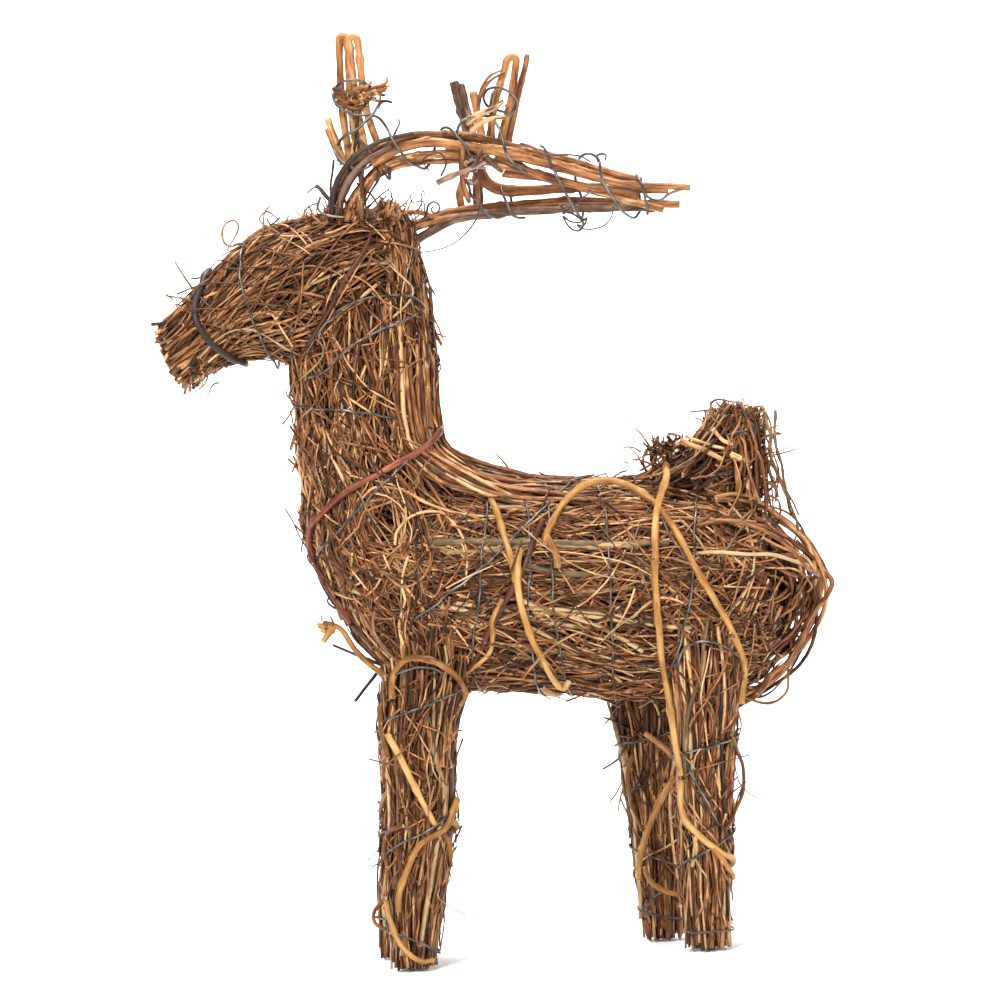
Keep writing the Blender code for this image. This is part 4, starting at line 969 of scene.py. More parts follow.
def make_rump():
    """An open nest: short twigs, bent ones around them, and loops and canes outside."""
    bundle = Bundle("rump_nest_twigs", 120)
    rng = bundle.rng
    # The deeper layer has the darker tone: partly painted shade inside the nest, partly darker inner twigs.
    thatch(bundle, barrel, (86, 110), (0, 360), 38.0, (28.0, 60.0), bow=8.0,
           layers=[(5.0, 10.0, 0.6, 1.2, 0.6, 0.15), (1.0, 5.0, 0.45, 1.0, 0.6, 0.30)])
    for count, size, reach, thin, thick, tone in RUMP_ARCS:
        paths = rump_arc(rng, count, size, reach)
        radii = (thin + (thick - thin) * rng.beta(1.4, 2.4, (count, 1))) * np.ones((1, RUMP_POINTS))
        bundle.add(paths, radii, tone)
        bundle.spurs(paths, radii, 0.5, (4.0, 12.0))
    for points in RUMP_LOOPS:
        strand(bundle, points, 0.55, 0.42, (1.0, 0.7), sides=7)
    for points, radius in RUMP_CANES:
        strand(bundle, points, radius, 0.42, (1.0, 0.7), sides=9)
    hairs(bundle, barrel, (84, 110), (0, 360), 80, (18.0, 44.0), 60.0, bow=9.0)
    bundle.build(twig_bark, ["rump_nest"])


def sheaf(bundle, count, stations, thin, thick, tone, scatter):
    """Twigs through a row of (x, y, z) stations, each scattered by its own amount."""
    rng = bundle.rng
    offset = rng.normal(0, 1, (count, 3))
    rows = [np.array(place) + offset * spread + rng.normal(0, 0.35, (count, 3)) * spread
            for place, spread in zip(stations, scatter)]
    paths = smooth(np.stack(rows), 4).transpose(1, 0, 2)
    points = paths.shape[1]
    for axis in range(3):
        paths[..., axis] += 0.6 * waves(rng, count, points, 1.6)
    radii = (thin + (thick - thin) * rng.beta(1.4, 2.4, (count, 1))) * np.ones((1, points))
    bundle.add(paths, radii, tone)
    bundle.spurs(paths, radii, 0.2)


# Torn flat strips in the tail: points, radius. Then its loops: points

TAIL_STICKS = [
    ([(74.7, -14.5, 201.4), (83.0, -15.5, 197.4), (91.0, -15.5, 192.7)], 1.3),
    ([(77.0, -14.5, 203.0), (86.0, -15.5, 199.0), (92.0, -15.5, 197.0)], 0.8),
    ([(94.3, -15.0, 194.5), (97.6, -15.2, 192.8), (100.9, -14.8, 191.2)], 1.2),
    ([(100.3, -14.6, 184.8), (100.5, -15.0, 180.8), (100.9, -14.6, 176.4)], 1.2),
    ([(102.3, -13.8, 184.0), (102.6, -14.2, 180.0), (103.1, -13.6, 176.8)], 0.9),
    ([(88.0, -14.0, 205.0), (92.0, -14.6, 200.0), (95.6, -15.0, 198.6)], 0.9),
]
TAIL_LOOPS = [
    [(63.2, -8, 196.6), (66.2, -9, 200.0), (69.9, -10, 200.9), (73.4, -10.5, 199.1),
     (76.0, -11, 195.7), (80.0, -12, 191.0)],
    [(64.0, -7, 186.8), (60.4, -9, 190.8), (59.9, -8.5, 195.2), (61.7, -8, 198.7), (64.6, -8, 199.7),
     (65.6, -8.5, 197.2), (63.0, -9, 194.6), (66.0, -10, 190.0)],
    [(100.2, -7, 213.0), (105.4, -7.5, 207.0), (104.0, -8.5, 202.0), (107.3, -9.5, 198.0),
     (103.6, -10.5, 194.0)],
    [(104.0, -8, 196.0), (110.2, -8, 190.4), (112.6, -8, 184.0), (108.0, -9, 178.6),
     (102.0, -11, 176.4)],
]


def make_tail():
    """A tuft that rises from the back, with a knotted wing on its front side."""
    bundle = Bundle("tail_tuft_twigs", 121)
    # Deeper layers have darker tones: partly painted shade inside the tuft, partly darker inner twigs.
    thatch(bundle, tail, (160, 216), (0, 360), 14.0, (26.0, 52.0), bow=5.0, splay=1.6,
           layers=[(4.0, 9.0, 0.6, 1.1, 1.8, 0.14), (1.0, 4.5, 0.45, 0.95, 1.6, 0.30),
                   (-0.5, 1.5, 0.36, 0.75, 0.9, 0.44)])
    sheaf(bundle, 90, [(64, -3, 186), (76, -4, 190), (86, -3, 198), (94, -2, 210)], 0.36, 0.85, 0.34,
          [(6, 10, 2.4), (5.0, 8, 3.0), (3.4, 6, 3.0), (3.4, 4, 2.4)])
    splinters(bundle, (70.0, -9.0, 198.0), (1.0, -2.0, 3.0), 40, (3.2, 2.0, 1.6), (0.5, 1.1), 0.12,
              (2.0, 2.0, 1.6), 0.3)
    sheaf(bundle, 70, [(99, -1, 212), (102, -2, 202), (103.5, -2, 188), (102, -2, 172)], 0.36, 0.85,
          0.36, [(4.5, 4, 1.8), (3.5, 6, 3.6), (4.0, 8, 5.0), (6, 10, 5.0)])
    hairs(bundle, tail, (176, 218), (0, 360), 190, (12.0, 30.0), 60.0, bow=10.0, splay=3.0)
    splinters(bundle, (97.0, -3.0, 208.0), (3.0, -1.0, 7.0), 40, (5.0, 4.0, 2.5), (0.3, 0.6), 0.45,
              (4.0, 4.0, 2.0), 0.08)
    splinters(bundle, (66.0, -9.0, 194.0), (-4.0, -1.0, 6.0), 30, (4.0, 3.0, 2.5), (0.3, 0.7), 0.35,
              (3.0, 3.0, 3.0), 0.1)
    splinters(bundle, (107.0, -6.0, 186.0), (5.0, -1.0, -2.0), 26, (2.0, 4.0, 8.0), (0.3, 0.5), 0.45,
              (3.0, 3.0, 5.0), 0.1)
    for points, radius in TAIL_STICKS:
        strand(bundle, points, radius, 0.84, (1.0, 0.8), sides=6, rough=0.25, wobble=0.1)
    for points in TAIL_LOOPS:
        strand(bundle, points, 0.6, 0.35, sides=8)
    hairs(bundle, tail, (178, 215), (0, 360), 60, (16.0, 36.0), 40.0, bow=6.0)
    bundle.build(twig_bark, ["tail_bundle"])


# Antlers: (points as x, z), offset across, radius, taper, slot, tone

LEFT_SPREAD = [(-60, -10.0), (-40, -12.0), (-20, -15.0), (5, -15.0), (28, -10.5), (48, -5.5), (90, -4.5)]
RIGHT_SPREAD = [(-60, 8.0), (-34, 8.5), (-15, 12.0), (5, 13.0), (28, 9.0), (48, 4.8), (90, 4.2)]
LEFT_ANTLER = {
    "left_antler_beam_1": ([(-57.0, 297.5), (-54.5, 306.5), (-48, 318.5), (-36, 325.8), (-20, 328.8),
                            (0, 326.8), (19.5, 321.2), (43, 313.8), (67, 305.2)], 0.0, 1.9,
                           (1.1, 0.95), "antler_wood", (0.05, 0.5)),
    "left_antler_beam_2": ([(-39.5, 318.8), (-28, 323.8), (-12, 325.0), (11.5, 319.6), (35, 312.2),
                            (59, 305.0), (86, 301.5)], -4.2, 1.9, (1.0, 0.7), "antler_wood", 0.50),
    "left_antler_beam_3": ([(-51.0, 297.0), (-46.5, 307.5), (-35, 317.8), (-21, 320.6), (-6.5, 320.4),
                            (11, 315.6), (35, 307.8), (54, 301.0), (75, 293.6)], -0.6, 1.9,
                           (1.05, 0.75), "antler_wood", 0.46),
    "left_mid_tine": ([(7.5, 320.0), (10.0, 338.0), (15.8, 354.0), (16.7, 356.9), (18.4, 358.5),
                       (20.0, 357.6), (20.2, 355.0), (16.4, 338.5), (11.9, 324.0)], 4.1, 1.55,
                      (1.0, 1.0), "antler_wood", 0.56),
    "left_mid_spur": ([(13.0, 314.0), (15.5, 326.0), (20.4, 343.0), (25.0, 359.5)], 7.8, 1.55,
                      (1.0, 0.7), "antler_wood", 0.50),
    "left_brow_spur": ([(-51.2, 320.5), (-53.0, 328.5), (-56.4, 339.5)], 6.9, 1.55, (1.0, 0.8),
                       "antler_wood", 0.62),
    "left_brow_tine_1": ([(-48.2, 319.5), (-49.9, 340.0), (-50.0, 357.0), (-49.4, 370.0),
                          (-48.95, 371.17), (-47.8, 371.65), (-46.65, 371.17), (-46.2, 370.0),
                          (-46.5, 357.0), (-46.4, 340.0), (-44.6, 320.5)], 7.2, 1.55, (1.0, 1.0),
                         "antler_wood", 0.74),
    "left_brow_tine_2": ([(-41.4, 321.0), (-43.8, 340.0), (-44.9, 357.0), (-45.4, 368.7),
                          (-44.95, 369.87), (-43.8, 370.35), (-42.65, 369.87), (-42.2, 368.7),
                          (-41.5, 357.0), (-40.2, 341.0), (-36.0, 324.0)], 3.8, 1.55, (1.0, 1.0),
                         "antler_wood", 0.70),
}
RIGHT_ANTLER = {
    "right_antler_beam_1": ([(-32.0, 291.0), (-23.5, 295.8), (-13, 298.8), (0, 300.6), (18, 301.0),
                             (42, 300.2), (66, 297.6), (82, 296.3)], 0.0, 1.9, (1.05, 0.8),
                            "antler_wood", 0.54),
    "right_antler_beam_2": ([(-31.0, 284.5), (-22.0, 290.5), (-13, 295.0), (-2, 297.4), (18, 297.6),
                             (50, 296.5), (75, 295.0)], -4.4, 1.9, (1.0, 0.75), "bark_wood", 0.50),
    "right_antler_beam_3": ([(0.4, 323.0), (2.2, 314.5), (6.6, 308.9), (13, 306.3), (27, 305.6),
                             (46, 305.4), (64, 303.2), (78, 302.0)], -0.6, 1.9, (1.0, 0.75),
                            "antler_wood", 0.50),
    "right_riser": ([(-5.2, 298.5), (-5.8, 307.5), (-2.4, 316.5), (2.4, 328.0)], 4.1, 1.55, (1.0, 0.9),
                    "antler_wood", 0.62),
    "right_bark_tine": ([(1.0, 300.0), (1.6, 315.0), (-0.6, 331.0), (-3.0, 343.5), (-5.1, 353.4)], 8.3,
                        1.9, (1.0, 1.1), "bark_wood", 0.45),
    "right_short_tine": ([(5.9, 317.5), (4.4, 333.0), (2.5, 348.0)], 0.8, 1.55, (1.0, 1.1),
                         "antler_wood", 0.70),
}


def rack_path(points, spread, offset, per_span=10):
    xs, ys = zip(*spread)
    dense = smooth(points, per_span)
    return np.stack([dense[:, 0], np.interp(dense[:, 0], xs, ys) + offset, dense[:, 1]], axis=-1)


def resample(path, step):
    """The path with points an even step apart."""
    along = np.concatenate([[0.0], np.cumsum(np.linalg.norm(np.diff(path, axis=0), axis=1))])
    count = max(3, int(round(along[-1] / step)) + 1)
    places = np.linspace(0.0, along[-1], count)
    return np.stack([np.interp(places, along, path[:, axis]) for axis in range(3)], axis=-1)


# A vine's slow bends, slow swellings and the half length of its nodes, in mm

BEND_EVERY = 30.0
SWELL_EVERY = 20.0
NODE_LENGTH = 1.5


def vine(bundle, path, radius, tone, taper=(1.0, 1.0), sides=12, rough=0.05, step=1.1, nodes_every=26.0,
         wobble=0.25):
    """One stout strand, with swollen nodes, a slightly uneven line and rounded-off cut ends."""
    rng = bundle.rng
    path = resample(np.asarray(path, float), step)
    points = len(path)
    path = path + wobble * np.stack([waves(rng, 1, points, points * step / BEND_EVERY)[0]
                                     for _ in range(3)], axis=-1) * 0.5
    radii = radius * np.linspace(*taper, points)
    along = np.arange(points) * step
    place = rng.uniform(5.0, nodes_every)
    while place < along[-1]:
        swelling = np.exp(-((along - place) / NODE_LENGTH) ** 2)
        radii = radii * (1.0 + rng.uniform(0.12, 0.3) * swelling)
        place += rng.uniform(0.6, 1.4) * nodes_every
    radii = radii * (1.0 + 0.035 * waves(rng, 1, points, points * step / SWELL_EVERY)[0])
    radii[0] *= 0.9
    radii[-1] *= 0.9
    bundle.add(path, radii, tone, sides=sides, rough=rough, spread=0.05, hue=rng.uniform(0.0, 0.9))


def strand(bundle, points, radius, tone=0.5, taper=(1.0, 0.8), **options):
    """A stout or thin strand through a few given points."""
    vine(bundle, smooth(points, 8), radius, tone, taper, **options)


def splinters(bundle, root, reach, count, scatter=(2.6, 0.9, 1.5), width=(0.6, 1.3), tone=0.42,
              fan=(1.2, 1.6, 2.0), rough=0.22):
    """A frayed knot: short torn strips that fan out from a root."""
    rng = bundle.rng
    t = np.linspace(0.0, 1.0, 7)[None, :, None]
    start = np.array(root) + rng.normal(0, 1, (count, 3)) * scatter
    ends = start + np.array(reach) * rng.uniform(0.35, 1.0, (count, 1)) + rng.normal(0, 1, (count, 3)) * fan
    bend = rng.normal(0, 1.2, (count, 1, 3))
    paths = start[:, None] * (1 - t) + ends[:, None] * t + bend * np.sin(np.pi * t)
    radii = rng.uniform(*width, (count, 1)) * np.linspace(1.0, 0.45, 7)[None]
    bundle.add(paths, radii, tone, sides=6, rough=rough, peel=0.2)


# Further strands in an antler piece: (points, radius, tone)

ANTLER_EXTRAS = {
    "left_antler_beam_1": [
        ([(-55.0, -13.0, 299.0), (-51.0, -14.5, 309.0), (-43.9, -16, 317.5), (-38.5, -16.5, 321.6),
          (-31.5, -18.6, 324.0), (-24.3, -19.6, 325.4), (-15.6, -19.4, 326.8)], 1.3, (0.0, 0.4)),
        ([(-58.5, -8.0, 298.0), (-56.0, -7.0, 308.0), (-50.0, -7.5, 317.0), (-42.0, -9.0, 322.5),
          (-30.0, -11.5, 325.5), (-14.0, -12.0, 325.0)], 1.4, (0.05, 0.45)),
    ],
    "left_antler_beam_2": [
        ([(-10.0, -15.0, 323.4), (10.0, -15.5, 321.6), (27.0, -11.0, 317.4), (42.0, -8.0, 312.0),
          (57.5, -5.5, 306.4)], 1.7, 0.5),
        ([(12.0, -12.5, 312.0), (30.0, -8.5, 308.6), (45.0, -5.0, 304.0), (58.6, -3.0, 299.6)], 1.6, 0.42),
    ],
    "left_antler_beam_3": [
        ([(9.4, -16.6, 318.5), (20.8, -13.6, 312.9), (34.5, -10.2, 307.7), (49.3, -7.2, 303.4),
          (65.5, -6.4, 300.2)], 1.8, 0.42),
        ([(-49.0, -10.5, 300.0), (-44.0, -9.0, 309.5), (-33.0, -12.0, 316.5), (-18.0, -13.5, 318.4),
          (-4.0, -13.0, 318.0)], 1.3, 0.4),
    ],
    "right_antler_beam_1": [
        ([(-36.0, 4.0, 288.0), (-26.0, 6.0, 293.4), (-12.0, 8.0, 297.0), (2.0, 9.5, 298.4),
          (20.0, 8.0, 299.4), (44.0, 2.5, 298.4), (62.0, 1.5, 296.8)], 1.3, 0.46),
    ],
    "right_antler_beam_3": [
        ([(3.4, 9.5, 317.0), (7.4, 9.0, 310.6), (16.0, 8.0, 307.6), (34.0, 5.5, 306.9),
          (52.0, 2.5, 305.6)], 1.2, 0.44),
    ],
    "right_bark_tine": [
        ([(2.0, 17.5, 312.0), (1.6, 18.0, 330.0), (-0.6, 18.5, 343.0), (-2.2, 18.0, 352.0)], 1.5, 0.4),
    ],
}

# Loose pieces on the antlers: (slot, finish, [(points, radius, tone)])

ANTLER_DETAILS = {
    "antler_tendrils": ("dark_vine", dark_vine_bark, [
        ([(19.7, -17, 323.0), (24.7, -18.5, 320.9), (29.3, -18.4, 317.8), (33.7, -17.5, 317.3),
          (38.1, -16.5, 317.2), (43.3, -15, 316.2), (47.1, -13, 313.9)], 0.55, 0.5),
        ([(34.0, -8, 298.4), (35.8, -6.5, 295.5), (38.2, -5, 294.9), (40.9, -4.5, 293.1),
          (42.7, -5, 290.6), (41.3, -6.5, 287.9), (38.6, -7, 288.1), (36.3, -6.5, 290.6),
          (34.9, -5, 293.9), (37.6, -3, 291.7), (41.6, -3, 291.1), (44.1, -4.5, 292.5),
          (42.7, -6.5, 289.4), (39.9, -8, 290.0), (42.2, -7, 288.2), (46.6, -5, 287.9),
          (51.1, -4, 289.2), (54.1, -5, 292.6), (55.2, -8, 296.6)], 0.5, 0.55),
        ([(35.0, -6, 294.7), (38.8, -8.5, 297.3), (43.0, -11.5, 300.2), (47.2, -14.0, 302.7)], 0.6, 0.6),
        ([(50.3, -15.5, 313.3), (49.7, -14.5, 315.8), (51.3, -13.2, 316.9), (53.3, -12.6, 316.3),
          (52.8, -12.5, 314.4)], 0.6, 0.5),
        ([(-19.5, -2, 295.6), (-20.0, -3, 299.7), (-20.1, -3.5, 303.3), (-22.1, -4, 303.8),
          (-24.9, -4, 303.6), (-25.1, -4, 306.4), (-23.0, -4, 307.9), (-20.6, -3.6, 308.1),
          (-19.6, -3, 306.1), (-21.7, -2.6, 304.2), (-24.2, -2.4, 302.0)], 0.3, 0.05),
        ([(-22.3, 2, 295.8), (-19.7, 1, 298.4), (-18.6, 0, 302.0), (-16.1, -0.6, 303.4),
          (-14.2, -1, 301.7), (-14.8, -1.2, 299.3), (-16.8, -1.3, 299.1), (-17.5, -1.2, 300.7),
          (-16.3, -1, 301.4)], 0.55, 0.4),
        ([(1.1, 0, 309.1), (1.9, -1.5, 303.0), (0.6, -4, 295.9), (-4.3, -6, 289.4), (-11.0, -8, 285.0),
          (-19.1, -9, 283.2), (-29.1, -12, 283.5)], 0.4, 0.5),
        ([(-52.0, -15, 301.0), (-58.0, -17, 306.0), (-62.0, -16, 311.0), (-66.0, -15, 309.0)], 0.5, 0.4),
        ([(-46.0, -14, 312.0), (-40.0, -16, 306.0), (-38.0, -18, 299.0), (-44.0, -19, 294.0)], 0.45, 0.4),
    ]),
    "antler_red_shoots": ("red_vine", red_bark, [
        ([(4.0, -13.5, 339.7), (5.1, -14, 343.7), (6.9, -14.2, 347.6), (10.0, -13.8, 351.0),
          (14.1, -12.5, 352.7)], 0.75, 0.85),
        ([(-35.6, -9, 340.8), (-34.3, -8, 343.1), (-31.8, -7, 343.8), (-28.7, -6.5, 342.8),
          (-24.5, -6, 339.7), (-21.1, -5.8, 336.6), (-19.1, -5.6, 336.1)], 0.22, 0.8),
        ([(-12.4, -19, 312.0), (-10.0, -20.5, 317.0), (-13.0, -21.5, 321.0), (-19.0, -21.6, 318.5),
          (-17.0, -20.5, 314.0)], 0.5, 0.5),
    ]),
    "antler_grey_stubs": ("bark_wood", dark_bark, [
        ([(-14.1, -19.5, 309.3), (-8.4, -21, 311.3), (-1.8, -22.4, 313.3), (5.5, -23.2, 315.6)], 1.3, 0.75),
        ([(6.0, -16.5, 318.0), (9.5, -19.5, 314.0), (12.0, -21.0, 311.5)], 1.5, 0.5),
    ]),
    "brow_tine_knot": ("antler_wood", antler_vine, [
        ([(-52.4, -6.5, 350.4), (-50.4, -9.0, 349.2), (-46.8, -10.6, 347.6), (-40.8, -11.2, 348.0),
          (-35.6, -10.0, 349.6)], 1.5, 0.25),
        ([(-52.0, -6.0, 347.8), (-49.6, -8.6, 346.5), (-46.6, -10.2, 344.8), (-42.2, -10.8, 344.9),
          (-38.1, -9.4, 346.6)], 1.5, 0.15),
        ([(-51.4, -5.4, 345.2), (-48.6, -8.6, 343.6), (-44.8, -10.0, 341.8), (-39.9, -9.6, 343.1)], 1.3,
         0.2),
        ([(-42.9, -8.6, 346.0), (-44.9, -8.4, 334.3), (-47.2, -9.4, 323.2)], 1.6, 0.1),
        ([(-46.6, -7.8, 342.0), (-46.4, -7.6, 332.0), (-45.0, -9.0, 322.0)], 1.4, 0.2),
        ([(-52.0, -6.8, 321.6), (-54.4, -4.6, 328.0), (-57.0, -3.6, 335.2)], 1.3, 0.62),
    ]),
    "antler_base_strands": ("antler_wood", antler_vine, [
        ([(-38.0, -15.6, 321.8), (-42.2, -15.6, 319.6), (-46.6, -14.6, 315.2), (-50.4, -13.6, 310.0),
          (-53.0, -12.6, 303.0), (-53.6, -12.0, 297.0)], 1.4, 0.42),
        ([(-39.6, -16.4, 323.5), (-42.7, -16.2, 318.9), (-44.3, -15.6, 313.4), (-43.9, -15.0, 305.7),
          (-45.0, -15.0, 297.5)], 1.2, 0.2),
        ([(-36.0, -13.0, 318.0), (-40.6, -13.2, 311.0), (-46.0, -12.0, 303.0), (-48.0, -12.0, 296.0)],
         1.2, 0.35),
        ([(-30.0, 1.0, 303.0), (-36.0, 0.0, 303.5), (-42.0, -3.0, 300.0), (-46.0, -5.0, 295.0)], 1.5, 0.5),
        ([(-12.0, 10.0, 296.0), (-22.0, 5.0, 300.0), (-30.0, -1.0, 299.6), (-38.0, -6.0, 296.0)], 1.3,
         0.55),
    ]),
    "antler_base_loops": ("dark_vine", dark_vine_bark, [
        ([(-56.8, -15.0, 300.0), (-55.0, -16.5, 309.5), (-50.5, -18.0, 317.5), (-44.0, -19.0, 323.5),
          (-35.0, -19.5, 327.3), (-22.0, -19.5, 329.5)], 1.3, 0.3),
        ([(-54.0, -16.0, 299.0), (-52.0, -17.5, 308.0), (-46.5, -19.0, 316.0), (-40.0, -19.8, 321.0),
          (-31.0, -20.0, 325.0)], 1.3, 0.45),
        ([(-44.6, -13.0, 329.5), (-42.2, -14.6, 326.5), (-38.5, -16.4, 321.4), (-33.7, -15.6, 316.7),
          (-32.8, -14.4, 312.4)], 0.75, 0.5),
        ([(-34.4, -13.0, 325.0), (-33.0, -14.6, 319.0), (-32.8, -14.4, 312.4), (-36.0, -15.0, 317.0)],
         0.7, 0.35),
        ([(-40.0, -14.0, 319.4), (-37.6, -14.6, 317.4), (-37.3, -14.8, 312.9), (-40.6, -14.0, 308.1),
          (-45.0, -13.0, 301.0)], 0.65, 0.3),
        ([(-54.6, -12.0, 322.0), (-55.5, -12.4, 316.5), (-56.5, -12.6, 311.4), (-56.2, -12.6, 304.5),
          (-54.0, -12.0, 296.0)], 0.55, 0.45),
        ([(-30.9, -15.0, 327.8), (-29.0, -15.4, 331.4), (-27.4, -14.8, 334.6), (-28.0, -14.2, 336.0)],
         0.6, 0.55),
        ([(-62.2, -11.0, 312.4), (-60.0, -12.0, 310.0), (-57.0, -12.6, 305.0), (-56.0, -12.0, 298.0)],
         0.7, 0.5),
        ([(-60.8, -14.0, 307.3), (-61.9, -16.0, 302.5), (-58.1, -19.0, 299.5), (-51.4, -20.0, 298.2)],
         0.55, 0.9),
    ]),
    "mid_tine_wraps": ("antler_wood", antler_vine, [
        ([(-0.6, -18.6, 331.6), (2.4, -20.4, 334.0), (6.6, -20.0, 336.0), (11.0, -17.4, 337.6),
          (14.0, -13.4, 340.4)], 1.4, 0.25),
        ([(0.6, -18.4, 328.6), (4.4, -20.4, 331.4), (9.4, -19.4, 333.2), (14.4, -16.0, 333.8)], 1.3, 0.35),
        ([(-3.0, -19.4, 323.0), (-3.8, -20.0, 316.0), (-4.0, -19.4, 309.0), (-2.0, -16.0, 301.0)], 1.5,
         0.35),
        ([(2.8, -19.0, 323.4), (3.4, -20.0, 315.0), (1.8, -18.6, 307.0), (1.4, -14.0, 299.0)], 1.4, 0.2),
        ([(3.8, -18.6, 335.0), (5.2, -16.4, 342.4), (9.4, -13.6, 348.6), (15.4, -11.4, 351.8)], 0.8, 0.3),
    ]),
}

# Splinters in those pieces: (root, reach, count)

SPLINTERS = {
    "brow_tine_knot": [((-39.0, -10.6, 348.0), (6.0, -1.0, 1.6), 22),
                       ((-46.0, -10.4, 345.6), (3.0, -1.0, -1.0), 14)],
    "antler_base_strands": [((-50.0, -11.0, 298.0), (1.0, -3.0, 8.0), 30),
                            ((-38.0, -9.0, 296.0), (5.0, -3.0, 7.0), 22)],
    "antler_grey_stubs": [((-1.0, -20.0, 314.0), (5.0, -1.5, 2.0), 10)],
}


def make_antlers():
    """Both racks, the loose strands that tie them and the frayed knots."""
    seed = 130
    for pieces, spread in ((LEFT_ANTLER, LEFT_SPREAD), (RIGHT_ANTLER, RIGHT_SPREAD)):
        for name, (points, offset, radius, taper, slot, tone) in pieces.items():
            seed += 1
            bundle = Bundle(name + "_vine", seed)
            barky = slot == "bark_wood"
            vine(bundle, rack_path(points, spread, offset), radius, tone, taper,
                 rough=0.16 if barky else 0.06, step=0.9)
            for extra, width, light in ANTLER_EXTRAS.get(name, []):
                strand(bundle, extra, width, light, (1.0, 0.8), rough=0.16 if barky else 0.07)
            bundle.build(dark_bark if barky else antler_vine, [name])
    for name, (slot, finish, strands) in ANTLER_DETAILS.items():
        seed += 1
        bundle = Bundle(name, seed)
        for points, width, light in strands:
            strand(bundle, points, width, light, (1.0, 0.6), step=0.7, sides=9, wobble=0.12)
        for where, reach, count in SPLINTERS.get(name, []):
            splinters(bundle, where, reach, count)
        bundle.build(finish)


# Bindings

WIRE_RADIUS = 0.5
ANTLER_WIRE_RADIUS = 0.6
WIRE_LIFT = 1.3             # how far a wire's middle stands off the twigs
VINE_LIFT = 2.5


def body_vines():
    """Name to slot, finish and a list of (path, radius, tone). The paths run over the near side."""
    side = [barrel, chest, neck]
    haunch = [barrel, legs["rear_left"]]
    collar = wrap(neck, [(221, 250), (216, 215), (213, 185)], VINE_LIFT - 1.0, 4)
    front = face(side, [(-19.6, 212.0), (-23.0, 208.5), (-33.9, 201.2), (-54.6, 191.8), (-68.0, 182.3),
                        (-73.6, 177.1), (-74.6, 169.2), (-71.8, 159.7), (-64.7, 146.4),
                        (-60.0, 138.0)], VINE_LIFT - 1.0, 4)
    haunch_vine = face(haunch, [(67.4, 186.4), (63.4, 174.5), (60.8, 154.7), (60.1, 138.7), (61.2, 118.6),
                                (63.0, 98.4), (64.2, 82.3), (65.6, 70.2)], VINE_LIFT - 0.2, 6)
    return {
        "muzzle_vine": ("dark_vine", dark_vine_bark, [
            (wrap(head, [(-103, 5), (-107, 35), (-111, 60), (-112, 85), (-109, 120), (-104, 150),
                         (-100, 178), (-103, 230), (-108, 290), (-104, 340)], VINE_LIFT - 1.2), 1.35, 0.35),
            (smooth([(-115.0, -9, 269.8), (-112.4, -11, 274.6), (-108.0, -9, 277.6),
                     (-103.4, -6, 280.4)], 6), 0.9, 0.4)]),
        "cheek_vine": ("red_vine", red_bark, [
            (face([head, neck], [(-41.9, 289.9), (-46.5, 281.4), (-53.1, 272.7), (-60.7, 261.2),
                                 (-68.7, 249.7), (-74.2, 241.6)], VINE_LIFT - 1.3), 1.0, 0.38)]),
        "collar_vine": ("red_vine", red_bark, [
            (smooth(np.concatenate([collar[::2], front[::2]]), 6), 1.4, 0.62),
            (face(side, [(-74.2, 171.0), (-72.6, 161.0), (-68.8, 151.0), (-61.0, 139.0),
                         (-52.0, 128.0)], 1.0), 0.9, 0.4)]),
        "red_girth_vine": ("red_vine", red_bark, [
            (face(side, [(18.3, 173.6), (12.8, 163.1), (9.5, 155.3), (4.5, 147.7), (-2.2, 137.7),
                         (-10.0, 123.4), (-16.8, 115.8), (-20.0, 112.0)], VINE_LIFT - 1.3), 1.4, 0.3)]),
        "golden_girth_vine": ("golden_vine", golden_bark, [
            (face(side, [(8.9, 163.0), (7.1, 155.5), (6.5, 147.5), (8.2, 137.0), (12.9, 123.0),
                         (18.4, 110.6), (21.5, 106.6), (23.9, 109.1)], VINE_LIFT - 0.2), 1.4, 0.7),
            (wrap(barrel, [(-9, -60), (-6, -25), (-4.5, 2), (-2.4, 30), (2.4, 59), (5.1, 79), (5.9, 89)],
                  VINE_LIFT - 1.0), 1.4, 0.72),
            (wrap(barrel, [(14, 158), (20, 185), (27, 225), (25, 270), (16, 315)], VINE_LIFT - 1.0), 1.3,
             0.6),
            (face(side, [(0.7, 143.9), (-4.3, 136.2), (-4.6, 129.8), (-6.0, 123.1), (-11.5, 118.3),
                         (-19.9, 113.2)], VINE_LIFT - 0.3), 0.95, 0.5)]),
        "golden_back_vine": ("golden_vine", golden_bark, [
            (face(haunch, [(18.4, 164.6), (19.8, 169.5), (26.7, 179.4), (34.4, 185.6), (42.6, 187.6),
                           (50.5, 186.0), (60.0, 180.6), (66.3, 172.3), (76.2, 151.6), (85.0, 134.9),
                           (91.6, 118.4), (93.3, 108.3), (91.2, 96.4)], VINE_LIFT - 0.6, 6), 1.4, 0.6),
            (face(haunch, [(18.8, 167.5), (22.6, 160.2), (23.2, 155.0)], VINE_LIFT - 0.9), 1.5, 0.5)]),
        "golden_haunch_vine": ("golden_vine", golden_bark, [
            (smooth(np.concatenate([[(69.6, -8.0, 195.6), (69.0, -11.0, 191.6)], haunch_vine[::3]]), 4),
             1.45, 0.62)]),
    }


# Leg vines: strands over the left face of each leg as ((x, z) points, radius, tone)

